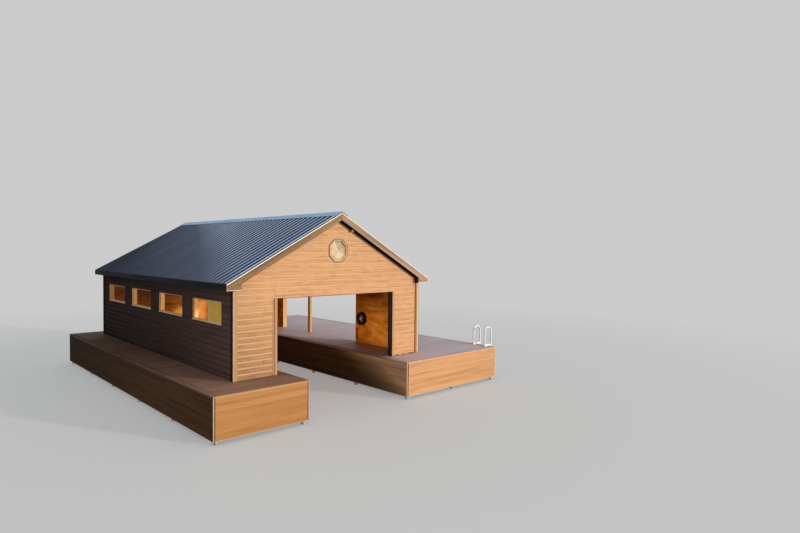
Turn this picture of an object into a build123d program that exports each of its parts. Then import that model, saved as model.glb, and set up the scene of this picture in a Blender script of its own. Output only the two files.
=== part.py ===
from build123d import *
import math
import os

os.makedirs("parts", exist_ok=True)

# A boathouse on a U-shaped dock: the slip runs in under the front gable.
# Millimetres, +X right along the front gable, +Y to the back, +Z up.
# The origin is the middle of the whole outline, at the level of the pile feet.

# Building
building_width = 5930
building_length = 9704
wall_core = 158
lining_thickness = 12
corner_board_width = 117
corner_board_thickness = 20

# Dock: decks outside the walls, and walkways inside them beside the slip
front_deck_depth = 960
back_deck_depth = 706
left_deck_width = 920
right_deck_width = 2570
left_walkway_width = 1430
right_walkway_width = 1335
slip_end_walkway = 1064
deck_thickness = 25
skirt_board_height = 305
skirt_board_count = 3
skirt_thickness = 25
skirt_above_feet = 94
joint_gap = 2

# Frame under the deck
beam_width = 100
beam_depth = 240
joist_width = 50
joist_depth = 190
joist_spacing = 610
pile_diameter = 100
pile_inset = 100
pile_spacing = 2300

# Front opening
opening_from_left_corner = 1140
opening_from_right_corner = 1022
opening_height = 1862
jamb_board_left_width = 110
jamb_board_right_width = 72
jamb_board_thickness = 12
liner_thickness = 12

# Windows in the left wall
window_count = 4
window_gap = 592
window_end_margin = 580
window_height = 570
sill_height = 1235
casing_thickness = 20
casing_joint = 0.5
casing_proud = 6
sill_proud = 16
glass_thickness = 6
glass_setback = 60

# Octagonal window in the front gable
octagon_sides = 8
octagon_across_flats = 610
octagon_height = 3022
octagon_frame_width = 50
octagon_frame_proud = 14
octagon_glass_setback = 30

# Opening in the right wall
side_opening_from_front = 2735
side_opening_width = 4522
side_post_from_opening = 2722
side_post_width = 140

# Roof
roof_pitch = 28.86
eave_overhang = 240
gable_overhang = 168
eave_height = 2272
rib_height = 19
rib_pitch = 228.6
rib_base_width = 60
rib_crest_width = 28
rib_edge_margin = 60
sheet_thickness = 6
sheathing_thickness = 18
rafter_depth = 140
rafter_width = 38
rafter_spacing = 610
rafter_seat = 90
ridge_board_width = 38
ridge_board_depth = 190
tie_depth = 140
tie_spacing = 1830
ridge_gap = 30
cap_wing = 240
cap_thickness = 3

# Rake boards, fascias and soffits
rake_depth = 203
rake_thickness = 25
fascia_depth = 172
fascia_thickness = 20
return_length = 368
soffit_thickness = 12
rake_soffit_recess = 15

# Ladder on the right edge of the dock
ladder_from_front = 300
ladder_width = 465
ladder_inboard = 181
ladder_outboard = 162
ladder_height = 625
ladder_tube = 38
ladder_foot_height = 60
bracket_thickness = 30
rung_count = 4
rung_spacing = 280
rung_drop = 45

# Small fittings
lamp_from_ridge = 405
lamp_below_soffit = 80
lamp_plate_diameter = 90
lamp_plate_thickness = 12
lamp_arm_diameter = 30
lamp_arm_length = 40
lamp_shade_diameter = 70
lamp_shade_length = 46
reel_from_front = 3337
reel_height = 800
reel_diameter = 430
reel_hole_diameter = 240
reel_hub_diameter = 110
reel_plate_thickness = 12
reel_depth = 100

# Worked out: dock
dock_width = left_deck_width + building_width + right_deck_width
dock_length = front_deck_depth + building_length + back_deck_depth
ladder_reach = ladder_outboard + ladder_tube / 2
dock_left = -(dock_width + ladder_reach) / 2
dock_right = dock_left + dock_width
dock_front = -dock_length / 2
dock_back = dock_length / 2
slip_left = dock_left + left_deck_width + left_walkway_width
slip_right = dock_right - right_deck_width - right_walkway_width
slip_rear = dock_back - back_deck_depth - slip_end_walkway
skirt_height = skirt_board_height * skirt_board_count
deck_bottom = skirt_above_feet + skirt_height
deck_top = deck_bottom + deck_thickness
beam_bottom = deck_bottom - beam_depth
joist_bottom = deck_bottom - joist_depth

# Worked out: building
wall_left = dock_left + left_deck_width
wall_right = wall_left + building_width
wall_front = dock_front + front_deck_depth
wall_back = wall_front + building_length
core_left = wall_left + wall_core
core_right = wall_right - wall_core
core_front = wall_front + wall_core
core_back = wall_back - wall_core
room_left = core_left + lining_thickness
room_right = core_right - lining_thickness
room_front = core_front + lining_thickness
room_back = core_back - lining_thickness
opening_left = wall_left + opening_from_left_corner
opening_right = wall_right - opening_from_right_corner
opening_top = deck_top + opening_height
side_opening_front = wall_front + side_opening_from_front
side_opening_back = side_opening_front + side_opening_width
side_post_middle = side_opening_front + side_post_from_opening + side_post_width / 2
sill_top = deck_top + sill_height
head_bottom = sill_top + window_height
window_run = building_length - 2 * window_end_margin
window_width = (window_run - (window_count - 1) * window_gap) / window_count
window_pitch = window_width + window_gap
window_start = wall_front + window_end_margin
octagon_middle_z = deck_top + octagon_height
octagon_turn = 180 / octagon_sides

# Worked out: roof
pitch = math.radians(roof_pitch)
rise = math.tan(pitch)
ridge_x = (wall_left + wall_right) / 2
eave_left = wall_left - eave_overhang
eave_right = wall_right + eave_overhang
eave_top = deck_top + eave_height
ridge_top = eave_top + (ridge_x - eave_left) * rise
slope_length = (ridge_x - eave_left) / math.cos(pitch)
roof_front = wall_front - gable_overhang
roof_back = wall_back + gable_overhang
roof_length = roof_back - roof_front
rake_front_inner = roof_front + rake_thickness
rake_back_inner = roof_back - rake_thickness
metal_depth = rib_height + sheet_thickness
sheathing_depth = metal_depth + sheathing_thickness
rafter_bottom_depth = sheathing_depth + rafter_depth
fascia_bottom = eave_top - fascia_depth
soffit_top = fascia_bottom + soffit_thickness
return_inner_left = eave_left + return_length


def roof_z(x, depth):
    """Height at x of the plane that lies depth below the rib crests, square to the slope."""
    return ridge_top - abs(x - ridge_x) * rise - depth / math.cos(pitch)


def rake_z(x, drop):
    """Height at x of the line that lies drop straight below the rib crests."""
    return ridge_top - abs(x - ridge_x) * rise - drop


wall_top = roof_z(wall_left + rafter_seat, rafter_bottom_depth)


def block(x_low, x_high, y_low, y_high, z_low, z_high):
    """Square block between two corners, in the open part."""
    with BuildSketch(Plane.XY.offset(z_low)) as outline:
        with Locations(((x_low + x_high) / 2, (y_low + y_high) / 2)):
            Rectangle(x_high - x_low, y_high - y_low)
    extrude(outline.sketch, amount=z_high - z_low)


def gable_slice(points, y_low, y_high):
    """Outline in X and Z, run from y_low back to y_high, in the open part."""
    with BuildSketch(Plane.XZ.offset(-y_low)) as outline:
        with BuildLine():
            Polyline(*points, close=True)
        make_face()
    extrude(outline.sketch, amount=y_low - y_high)


def mirrored(points):
    """The same outline on the other side of the ridge."""
    return [(2 * ridge_x - x, z) for x, z in reversed(points)]


# Deck
with BuildPart() as deck_left:
    block(dock_left, slip_left, dock_front, slip_rear, deck_bottom, deck_top)

with BuildPart() as deck_right:
    block(slip_right, dock_right, dock_front, slip_rear, deck_bottom, deck_top)

with BuildPart() as deck_rear:
    block(dock_left, dock_right, slip_rear, dock_back, deck_bottom, deck_top)

# Beams run front to back over the piles, and joists cross between them
frame_front = dock_front + skirt_thickness
frame_back = dock_back - skirt_thickness
beam_inset = skirt_thickness + beam_width / 2
beam_x = [
    dock_left + beam_inset,
    slip_left - beam_inset,
    slip_right + beam_inset,
    (slip_right + dock_right) / 2,
    dock_right - beam_inset,
]
half_beam = beam_width / 2
with BuildPart() as beams:
    for middle in beam_x:
        block(middle - half_beam, middle + half_beam, frame_front, frame_back, beam_bottom, deck_bottom)


def joist_bay(left_beam, right_beam, y_low, y_high):
    """Row of joists that fills the bay between two beams, in the open part."""
    x_low = left_beam + beam_width / 2
    x_high = right_beam - beam_width / 2
    run = y_high - y_low - joist_width
    count = math.ceil(run / joist_spacing) + 1
    with BuildSketch(Plane.XY.offset(joist_bottom)) as outlines:
        with Locations(((x_low + x_high) / 2, (y_low + y_high) / 2)):
            with GridLocations(0, run / (count - 1), 1, count):
                Rectangle(x_high - x_low, joist_width)
    extrude(outlines.sketch, amount=joist_depth)


with BuildPart() as joists:
    joist_bay(beam_x[0], beam_x[1], frame_front, frame_back)
    joist_bay(beam_x[1], beam_x[2], slip_rear + skirt_thickness, frame_back)
    joist_bay(beam_x[2], beam_x[3], frame_front, frame_back)
    joist_bay(beam_x[3], beam_x[4], frame_front, frame_back)

# Steel pipe piles
pile_x = [
    dock_left + pile_inset,
    slip_left - pile_inset,
    slip_right + pile_inset,
    (slip_right + dock_right) / 2,
    dock_right - pile_inset,
]
pile_run = dock_length - 2 * pile_inset
pile_count = round(pile_run / pile_spacing) + 1
with BuildPart() as piles:
    for middle in pile_x:
        with BuildSketch(Plane.XY):
            with Locations((middle, 0)):
                with GridLocations(0, pile_run / (pile_count - 1), 1, pile_count):
                    Circle(pile_diameter / 2)
        extrude(amount=beam_bottom)

# Skirts: upright boards all round the dock, with square trims at the outer corners
skirt = skirt_thickness


def skirt_piece(x_low, x_high, y_low, y_high):
    """Upright piece of the skirt's full height, in the open part."""
    block(x_low, x_high, y_low, y_high, skirt_above_feet, deck_bottom)


with BuildPart() as skirt_front_left:
    skirt_piece(dock_left + skirt, slip_left - skirt, dock_front, dock_front + skirt)

with BuildPart() as skirt_front_right:
    skirt_piece(slip_right + skirt, dock_right - skirt, dock_front, dock_front + skirt)

with BuildPart() as skirt_left:
    skirt_piece(dock_left, dock_left + skirt, dock_front + skirt, dock_back - skirt)

with BuildPart() as skirt_right:
    skirt_piece(dock_right - skirt, dock_right, dock_front + skirt, dock_back - skirt)

with BuildPart() as skirt_back:
    skirt_piece(dock_left + skirt, dock_right - skirt, dock_back - skirt, dock_back)

with BuildPart() as slip_skirts:
    skirt_piece(slip_left - skirt, slip_left, dock_front + skirt, slip_rear)
    skirt_piece(slip_right, slip_right + skirt, dock_front + skirt, slip_rear)
    skirt_piece(slip_left + joint_gap, slip_right - joint_gap, slip_rear, slip_rear + skirt)

trim_corners = [
    (dock_left, dock_front),
    (slip_left - skirt, dock_front),
    (slip_right, dock_front),
    (dock_right - skirt, dock_front),
    (dock_left, dock_back - skirt),
    (dock_right - skirt, dock_back - skirt),
]
with BuildPart() as skirt_corner_trims:
    for x, y in trim_corners:
        skirt_piece(x, x + skirt, y, y + skirt)

# Front wall: a pier each side of the opening, and the gable over it
with BuildPart() as front_wall_left:
    block(wall_left, opening_left, wall_front, core_front, deck_top, opening_top)

with BuildPart() as front_wall_right:
    block(opening_right, wall_right, wall_front, core_front, deck_top, opening_top)


def gable_outline(x_low, x_high, z_low):
    """Pentagon under the roof sheathing, down to z_low."""
    return [
        (x_low, z_low),
        (x_high, z_low),
        (x_high, roof_z(x_high, sheathing_depth)),
        (ridge_x, roof_z(ridge_x, sheathing_depth)),
        (x_low, roof_z(x_low, sheathing_depth)),
    ]


def octagon_cut(across_flats, y_low, y_high, mode):
    """Octagonal prism on the gable window's axis, in the open part."""
    with BuildSketch(Plane.XZ.offset(-y_low)) as outline:
        with Locations((ridge_x, octagon_middle_z)):
            RegularPolygon(across_flats / 2, octagon_sides, major_radius=False, rotation=octagon_turn)
    extrude(outline.sketch, amount=y_low - y_high, mode=mode)


with BuildPart() as front_gable:
    gable_slice(gable_outline(wall_left, wall_right, opening_top), wall_front, core_front)
    octagon_cut(octagon_across_flats, wall_front, core_front, Mode.SUBTRACT)

# Left wall: a band under the windows, the piers between them and a band over them
with BuildPart() as left_wall_lower:
    block(wall_left, core_left, core_front, core_back, deck_top, sill_top)

pier_edges = [core_front]
for index in range(window_count):
    pier_edges.append(window_start + index * window_pitch)
    pier_edges.append(window_start + index * window_pitch + window_width)
pier_edges.append(core_back)
piers = list(zip(pier_edges[0::2], pier_edges[1::2]))

with BuildPart() as left_wall_piers:
    for y_low, y_high in piers:
        block(wall_left, core_left, y_low, y_high, sill_top, head_bottom)

with BuildPart() as left_wall_upper:
    block(wall_left, core_left, core_front, core_back, head_bottom, wall_top)

# Right wall: two returns, the header over the side opening and a post in it
with BuildPart() as right_wall_front:
    block(core_right, wall_right, core_front, side_opening_front, deck_top, opening_top)

with BuildPart() as right_wall_rear:
    block(core_right, wall_right, side_opening_back, core_back, deck_top, opening_top)

with BuildPart() as right_wall_header:
    block(core_right, wall_right, core_front, core_back, opening_top, wall_top)

with BuildPart() as side_opening_post:
    block(
        wall_right - side_post_width,
        wall_right,
        side_post_middle - side_post_width / 2,
        side_post_middle + side_post_width / 2,
        deck_top,
        opening_top,
    )

# Back wall, closed up to the roof
with BuildPart() as back_wall:
    gable_slice(gable_outline(wall_left, wall_right, deck_top), core_back, wall_back)

# Corner boards wrap the four corners, from the deck to the soffit
with BuildPart() as corner_boards:
    for x, x_way in ((wall_left, 1), (wall_right, -1)):
        for y, y_way in ((wall_front, 1), (wall_back, -1)):
            outer_x = x - x_way * corner_board_thickness
            outer_y = y - y_way * corner_board_thickness
            inner_x = outer_x + x_way * corner_board_width
            inner_y = outer_y + y_way * corner_board_width
            with BuildSketch(Plane.XY.offset(deck_top)):
                with BuildLine():
                    Polyline(
                        (outer_x, outer_y),
                        (inner_x, outer_y),
                        (inner_x, y),
                        (x, y),
                        (x, inner_y),
                        (outer_x, inner_y),
                        close=True,
                    )
                make_face()
            extrude(amount=fascia_bottom - deck_top)

# Boards beside the front opening, on the wall's face
with BuildPart() as opening_trim:
    trim_front = wall_front - jamb_board_thickness
    trim_left = opening_left - jamb_board_left_width
    trim_right = opening_right + jamb_board_right_width
    block(trim_left, opening_left, trim_front, wall_front, deck_top, opening_top)
    block(opening_right, trim_right, trim_front, wall_front, deck_top, opening_top)

# Dark liners on the reveals of the front opening
with BuildPart() as opening_liners:
    block(opening_left, opening_left + liner_thickness, wall_front, room_front, deck_top, opening_top)
    block(opening_right - liner_thickness, opening_right, wall_front, room_front, deck_top, opening_top)
    block(
        opening_left + liner_thickness + joint_gap,
        opening_right - liner_thickness - joint_gap,
        wall_front,
        room_front,
        opening_top - liner_thickness,
        opening_top,
    )

# Plywood linings, in sheets with open joints
with BuildPart() as front_lining:
    block(room_left, opening_left - joint_gap, core_front, room_front, deck_top, opening_top - joint_gap)
    block(opening_right + joint_gap, room_right, core_front, room_front, deck_top, opening_top - joint_gap)
    gable_slice(gable_outline(room_left, room_right, opening_top), core_front, room_front)
    octagon_cut(octagon_across_flats, core_front, room_front, Mode.SUBTRACT)

with BuildPart() as left_lining:
    block(core_left, room_left, core_front, core_back, deck_top, sill_top - joint_gap)
    for y_low, y_high in piers:
        block(core_left, room_left, y_low, y_high, sill_top, head_bottom - joint_gap)
    block(core_left, room_left, core_front, core_back, head_bottom, wall_top)

with BuildPart() as right_lining:
    block(room_right, core_right, core_front, side_opening_front, deck_top, opening_top - joint_gap)
    block(room_right, core_right, side_opening_back, core_back, deck_top, opening_top - joint_gap)
    block(room_right, core_right, core_front, core_back, opening_top, wall_top)

with BuildPart() as back_lining:
    gable_slice(gable_outline(room_left, room_right, deck_top), room_back, core_back)

# Window casings: sill, head and jamb boards in each window hole of the left wall
casing_outer = wall_left - casing_proud
with BuildPart() as window_casings:
    for index in range(window_count):
        y_low = window_start + index * window_pitch
        y_high = y_low + window_width
        sill_board_top = sill_top + casing_thickness
        head_board_bottom = head_bottom - casing_thickness
        block(wall_left - sill_proud, room_left, y_low, y_high, sill_top, sill_board_top)
        block(casing_outer, room_left, y_low, y_high, head_board_bottom, head_bottom)
        for jamb in (y_low, y_high - casing_thickness):
            block(
                casing_outer,
                room_left,
                jamb,
                jamb + casing_thickness,
                sill_board_top + casing_joint,
                head_board_bottom - casing_joint,
            )

octagon_glass_front = wall_front + octagon_glass_setback
with BuildPart() as window_glass:
    for index in range(window_count):
        y_low = window_start + index * window_pitch + casing_thickness
        y_high = y_low + window_width - 2 * casing_thickness
        block(
            wall_left + glass_setback,
            wall_left + glass_setback + glass_thickness,
            y_low,
            y_high,
            sill_top + casing_thickness,
            head_bottom - casing_thickness,
        )
    octagon_cut(
        octagon_across_flats - 2 * octagon_frame_width,
        octagon_glass_front,
        octagon_glass_front + glass_thickness,
        Mode.ADD,
    )

with BuildPart() as octagon_frame:
    octagon_cut(octagon_across_flats, wall_front - octagon_frame_proud, room_front, Mode.ADD)
    octagon_cut(
        octagon_across_flats - 2 * octagon_frame_width,
        wall_front - octagon_frame_proud,
        room_front,
        Mode.SUBTRACT,
    )

# Rafters, notched over the side walls and cut level over the soffit
ridge_board_left = ridge_x - ridge_board_width / 2
fascia_back = eave_left + fascia_thickness
heel_z = roof_z(wall_left, rafter_bottom_depth)
rafter_outline = [
    (fascia_back, soffit_top),
    (wall_left - (heel_z - soffit_top) / rise, soffit_top),
    (wall_left, heel_z),
    (wall_left, wall_top),
    (wall_left + rafter_seat, wall_top),
    (ridge_board_left, roof_z(ridge_board_left, rafter_bottom_depth)),
    (ridge_board_left, roof_z(ridge_board_left, sheathing_depth)),
    (fascia_back, roof_z(fascia_back, sheathing_depth)),
]
rafter_run = room_back - room_front - rafter_width
rafter_count = math.ceil(rafter_run / rafter_spacing) + 1
rafter_pitch = rafter_run / (rafter_count - 1)
rafter_starts = [room_front + index * rafter_pitch for index in range(rafter_count)]
with BuildPart() as rafters:
    for y in rafter_starts:
        gable_slice(rafter_outline, y, y + rafter_width)
        gable_slice(mirrored(rafter_outline), y, y + rafter_width)

ridge_board_top = roof_z(ridge_board_left, sheathing_depth)
with BuildPart() as ridge_board:
    block(
        ridge_board_left,
        ridge_board_left + ridge_board_width,
        room_front,
        room_back,
        ridge_board_top - ridge_board_depth,
        ridge_board_top,
    )

# Ties cross the room beside some of the rafters and rest on the walls
tie_step = max(1, round(tie_spacing / rafter_pitch))
tie_left = eave_left + (wall_top + tie_depth - roof_z(eave_left, sheathing_depth)) / rise
with BuildPart() as tie_beams:
    for y in rafter_starts[tie_step:-1:tie_step]:
        block(
            tie_left,
            2 * ridge_x - tie_left,
            y + rafter_width,
            y + 2 * rafter_width,
            wall_top,
            wall_top + tie_depth,
        )

# Roof sheathing, open along the ridge
sheathing_ridge = ridge_x - ridge_gap * math.cos(pitch)
sheathing_foot = eave_left + metal_depth * math.sin(pitch)
sheathing_outline = [
    (sheathing_foot, roof_z(sheathing_foot, sheathing_depth)),
    (sheathing_ridge, roof_z(sheathing_ridge, sheathing_depth)),
    (sheathing_ridge, roof_z(sheathing_ridge, metal_depth)),
    (sheathing_foot, roof_z(sheathing_foot, metal_depth)),
]
with BuildPart() as roof_sheathing:
    gable_slice(sheathing_outline, rake_front_inner, rake_back_inner)
    gable_slice(mirrored(sheathing_outline), rake_front_inner, rake_back_inner)

# Ribbed metal roof: a flat sheet with raised ribs that run from eave to ridge
rib_count = int((roof_length - 2 * rib_edge_margin) // rib_pitch) + 1
rib_start = (roof_length - (rib_count - 1) * rib_pitch) / 2


def rib_outline():
    """Cross-section of the sheet: along the eave, and square to the slope."""
    points = [(0, -metal_depth), (0, -rib_height)]
    for index in range(rib_count):
        middle = rib_start + index * rib_pitch
        points.append((middle - rib_base_width / 2, -rib_height))
        points.append((middle - rib_crest_width / 2, 0))
        points.append((middle + rib_crest_width / 2, 0))
        points.append((middle + rib_base_width / 2, -rib_height))
    points.append((roof_length, -rib_height))
    points.append((roof_length, -metal_depth))
    return points


def ribbed_sheet(eave_x, along, front_y):
    """Sheet from the eave up to the ridge gap; along is the sketch's own direction."""
    up_slope = (math.copysign(math.cos(pitch), ridge_x - eave_x), 0, math.sin(pitch))
    eave_plane = Plane(origin=(eave_x, front_y, eave_top), x_dir=(0, along, 0), z_dir=up_slope)
    with BuildSketch(eave_plane) as section:
        with BuildLine():
            Polyline(*rib_outline(), close=True)
        make_face()
    extrude(section.sketch, amount=slope_length - ridge_gap)


with BuildPart() as metal_roof_left:
    ribbed_sheet(eave_left, 1, roof_front)

with BuildPart() as metal_roof_right:
    ribbed_sheet(eave_right, -1, roof_back)

# Ridge cap: a bent sheet that rests on the rib crests
cap_reach = cap_wing * math.cos(pitch)
cap_rise = cap_thickness / math.cos(pitch)
with BuildPart() as ridge_cap:
    gable_slice(
        [
            (ridge_x - cap_reach, rake_z(ridge_x - cap_reach, 0)),
            (ridge_x, ridge_top),
            (ridge_x + cap_reach, rake_z(ridge_x + cap_reach, 0)),
            (ridge_x + cap_reach, rake_z(ridge_x + cap_reach, -cap_rise)),
            (ridge_x, ridge_top + cap_rise),
            (ridge_x - cap_reach, rake_z(ridge_x - cap_reach, -cap_rise)),
        ],
        roof_front,
        roof_back,
    )

# Rake boards, with a boxed return at each eave
mitre_left = ridge_x - joint_gap / 2
rake_outline = [
    (eave_left, fascia_bottom),
    (return_inner_left, fascia_bottom),
    (return_inner_left, rake_z(return_inner_left, rake_depth)),
    (mitre_left, rake_z(mitre_left, rake_depth)),
    (mitre_left, roof_z(mitre_left, metal_depth)),
    (eave_left, roof_z(eave_left, metal_depth)),
]
with BuildPart() as rake_boards:
    for y_low, y_high in ((roof_front, rake_front_inner), (rake_back_inner, roof_back)):
        gable_slice(rake_outline, y_low, y_high)
        gable_slice(mirrored(rake_outline), y_low, y_high)

# Eave fascias, under the edge of the metal
fascia_outline = [
    (eave_left, fascia_bottom),
    (fascia_back, fascia_bottom),
    (fascia_back, roof_z(fascia_back, sheathing_depth)),
    (sheathing_foot, roof_z(sheathing_foot, sheathing_depth)),
    (sheathing_foot, roof_z(sheathing_foot, metal_depth)),
    (eave_left, roof_z(eave_left, metal_depth)),
]
with BuildPart() as eave_fascias:
    gable_slice(fascia_outline, rake_front_inner, rake_back_inner)
    gable_slice(mirrored(fascia_outline), rake_front_inner, rake_back_inner)

# Soffits: level under the eaves, boxed at the returns and sloping under the rakes
soffit_drop = rake_depth - rake_soffit_recess
rake_soffit_start = return_inner_left + joint_gap
return_outline = [
    (fascia_back, fascia_bottom),
    (return_inner_left, fascia_bottom),
    (return_inner_left, rake_z(return_inner_left, soffit_drop - soffit_thickness)),
    (fascia_back, rake_z(fascia_back, soffit_drop - soffit_thickness)),
]
rake_soffit_outline = [
    (rake_soffit_start, rake_z(rake_soffit_start, soffit_drop)),
    (mitre_left, rake_z(mitre_left, soffit_drop)),
    (mitre_left, rake_z(mitre_left, soffit_drop - soffit_thickness)),
    (rake_soffit_start, rake_z(rake_soffit_start, soffit_drop - soffit_thickness)),
]
with BuildPart() as soffits:
    for y_low, y_high in ((rake_front_inner, wall_front), (wall_back, rake_back_inner)):
        gable_slice(return_outline, y_low, y_high)
        gable_slice(mirrored(return_outline), y_low, y_high)
        gable_slice(rake_soffit_outline, y_low, y_high)
        gable_slice(mirrored(rake_soffit_outline), y_low, y_high)
    for x_low, x_high in ((fascia_back, wall_left), (wall_right, 2 * ridge_x - fascia_back)):
        block(x_low, x_high, wall_front + joint_gap, wall_back - joint_gap, fascia_bottom, soffit_top)

# Ladder: two bent tubes over the edge of the deck, with flat brackets, and rungs below
ladder_front = dock_front + ladder_from_front
ladder_back = ladder_front + ladder_width
inner_leg_x = dock_right - ladder_inboard
outer_leg_x = dock_right + ladder_outboard
bend_radius = (outer_leg_x - inner_leg_x) / 2
bend_z = deck_top + ladder_height - ladder_tube / 2 - bend_radius
with BuildPart() as ladder_rails:
    for y in (ladder_front, ladder_back):
        with BuildLine(Plane.XZ.offset(-y)) as rail_path:
            Line((inner_leg_x, deck_top), (inner_leg_x, bend_z))
            ThreePointArc(
                (inner_leg_x, bend_z),
                (inner_leg_x + bend_radius, bend_z + bend_radius),
                (outer_leg_x, bend_z),
            )
            Line((outer_leg_x, bend_z), (outer_leg_x, ladder_foot_height))
        with BuildSketch(Plane((inner_leg_x, y, deck_top))):
            Circle(ladder_tube / 2)
        sweep(path=rail_path.line)
        block(
            inner_leg_x,
            outer_leg_x,
            y - ladder_tube / 2,
            y + ladder_tube / 2,
            deck_top,
            deck_top + bracket_thickness,
        )

with BuildPart() as ladder_rungs:
    for index in range(rung_count):
        rung_z = deck_top - rung_drop - index * rung_spacing
        with BuildSketch(Plane.XZ.offset(-ladder_front - ladder_tube / 2)):
            with Locations((outer_leg_x, rung_z)):
                Circle(ladder_tube / 2)
        extrude(amount=ladder_tube - ladder_width)

# Small lamp on the gable, under the right rake
lamp_x = ridge_x + lamp_from_ridge
lamp_z = rake_z(lamp_x, soffit_drop) - lamp_below_soffit
lamp_steps = [
    (lamp_plate_diameter, lamp_plate_thickness),
    (lamp_arm_diameter, lamp_arm_length),
    (lamp_shade_diameter, lamp_shade_length),
]
with BuildPart() as gable_lamp:
    lamp_out = 0
    for diameter, length in lamp_steps:
        with BuildSketch(Plane.XZ.offset(lamp_out - wall_front)):
            with Locations((lamp_x, lamp_z)):
                Circle(diameter / 2)
        extrude(amount=length)
        lamp_out = lamp_out + length

# Reel on the plywood, just inside the front end of the side opening
with BuildPart() as wall_reel:
    with BuildSketch(Plane.YZ.offset(room_right)):
        with Locations((dock_front + reel_from_front, deck_top + reel_height)):
            Circle(reel_diameter / 2)
    extrude(amount=-reel_plate_thickness)
    with BuildSketch(Plane.YZ.offset(room_right - reel_plate_thickness)):
        with Locations((dock_front + reel_from_front, deck_top + reel_height)):
            Circle(reel_diameter / 2)
            Circle(reel_hole_diameter / 2, mode=Mode.SUBTRACT)
            Circle(reel_hub_diameter / 2)
    extrude(amount=reel_plate_thickness - reel_depth)

pieces = {
    "deck_left": deck_left,
    "deck_right": deck_right,
    "deck_rear": deck_rear,
    "beams": beams,
    "joists": joists,
    "piles": piles,
    "skirt_front_left": skirt_front_left,
    "skirt_front_right": skirt_front_right,
    "skirt_left": skirt_left,
    "skirt_right": skirt_right,
    "skirt_back": skirt_back,
    "slip_skirts": slip_skirts,
    "skirt_corner_trims": skirt_corner_trims,
    "front_wall_left": front_wall_left,
    "front_wall_right": front_wall_right,
    "front_gable": front_gable,
    "left_wall_lower": left_wall_lower,
    "left_wall_piers": left_wall_piers,
    "left_wall_upper": left_wall_upper,
    "right_wall_front": right_wall_front,
    "right_wall_rear": right_wall_rear,
    "right_wall_header": right_wall_header,
    "side_opening_post": side_opening_post,
    "back_wall": back_wall,
    "corner_boards": corner_boards,
    "opening_trim": opening_trim,
    "opening_liners": opening_liners,
    "front_lining": front_lining,
    "left_lining": left_lining,
    "right_lining": right_lining,
    "back_lining": back_lining,
    "window_casings": window_casings,
    "window_glass": window_glass,
    "octagon_frame": octagon_frame,
    "rafters": rafters,
    "ridge_board": ridge_board,
    "tie_beams": tie_beams,
    "roof_sheathing": roof_sheathing,
    "metal_roof_left": metal_roof_left,
    "metal_roof_right": metal_roof_right,
    "ridge_cap": ridge_cap,
    "rake_boards": rake_boards,
    "eave_fascias": eave_fascias,
    "soffits": soffits,
    "ladder_rails": ladder_rails,
    "ladder_rungs": ladder_rungs,
    "gable_lamp": gable_lamp,
    "wall_reel": wall_reel,
}
for name, piece in pieces.items():
    piece.part.label = name
    export_step(piece.part, f"parts/{name}.step")

print("dock left, slip left, slip right, dock right", dock_left, slip_left, slip_right, dock_right)
print("wall left and right", wall_left, wall_right, "wall front and back", wall_front, wall_back)
print("deck top", deck_top, "wall top", wall_top, "ridge top", ridge_top, "windows from", window_start)
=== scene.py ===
# %% [markdown]
# # A boathouse on a U-shaped dock
#
# This lesson dresses a timber boathouse. The packed model gives every board, sheet and post its true
# place, and the cells below cut the big flat solids into what they are made of on the real building:
# courses of siding, deck boards with gaps, skirt boards, plywood sheets, screws, sashes and trims.
# Everything is in metres, with +X to the right along the front gable, +Y to the back and +Z up.

import itertools
import math
import random

import bmesh
import bpy
from mathutils import Matrix, Vector


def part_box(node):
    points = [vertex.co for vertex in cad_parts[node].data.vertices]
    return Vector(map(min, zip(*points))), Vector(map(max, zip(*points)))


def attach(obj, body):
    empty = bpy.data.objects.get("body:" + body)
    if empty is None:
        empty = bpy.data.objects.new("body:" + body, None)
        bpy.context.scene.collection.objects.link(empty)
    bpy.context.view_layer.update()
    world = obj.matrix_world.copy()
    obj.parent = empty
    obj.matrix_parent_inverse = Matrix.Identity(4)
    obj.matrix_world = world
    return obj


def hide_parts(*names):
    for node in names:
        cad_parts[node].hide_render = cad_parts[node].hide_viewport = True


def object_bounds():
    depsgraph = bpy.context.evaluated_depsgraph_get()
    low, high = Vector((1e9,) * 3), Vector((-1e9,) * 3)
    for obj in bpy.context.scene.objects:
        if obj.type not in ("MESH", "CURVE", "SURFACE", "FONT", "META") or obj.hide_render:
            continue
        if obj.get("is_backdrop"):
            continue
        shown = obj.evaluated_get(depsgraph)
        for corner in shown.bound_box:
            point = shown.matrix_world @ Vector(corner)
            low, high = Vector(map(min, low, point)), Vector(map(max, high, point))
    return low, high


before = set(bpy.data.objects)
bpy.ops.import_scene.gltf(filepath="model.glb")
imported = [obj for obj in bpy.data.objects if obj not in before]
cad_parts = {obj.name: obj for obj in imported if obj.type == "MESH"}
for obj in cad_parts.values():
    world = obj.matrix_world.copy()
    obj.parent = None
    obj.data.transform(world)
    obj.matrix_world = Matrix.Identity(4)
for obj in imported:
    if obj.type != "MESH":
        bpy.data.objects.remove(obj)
cad_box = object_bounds()
print("nodes in the frame:", len(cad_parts))
print("lowest and highest corner:", [[round(v, 3) for v in corner] for corner in cad_box])

# %% [markdown]
# ## Planes to build from
#
# A carpenter works from a few lines: the deck, the faces of the four walls, the edges of the openings and
# the slope of the roof. They could be typed in again as numbers, but reading them from the boxes of the
# nodes keeps every later piece true to the model, so that is the way here.

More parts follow.
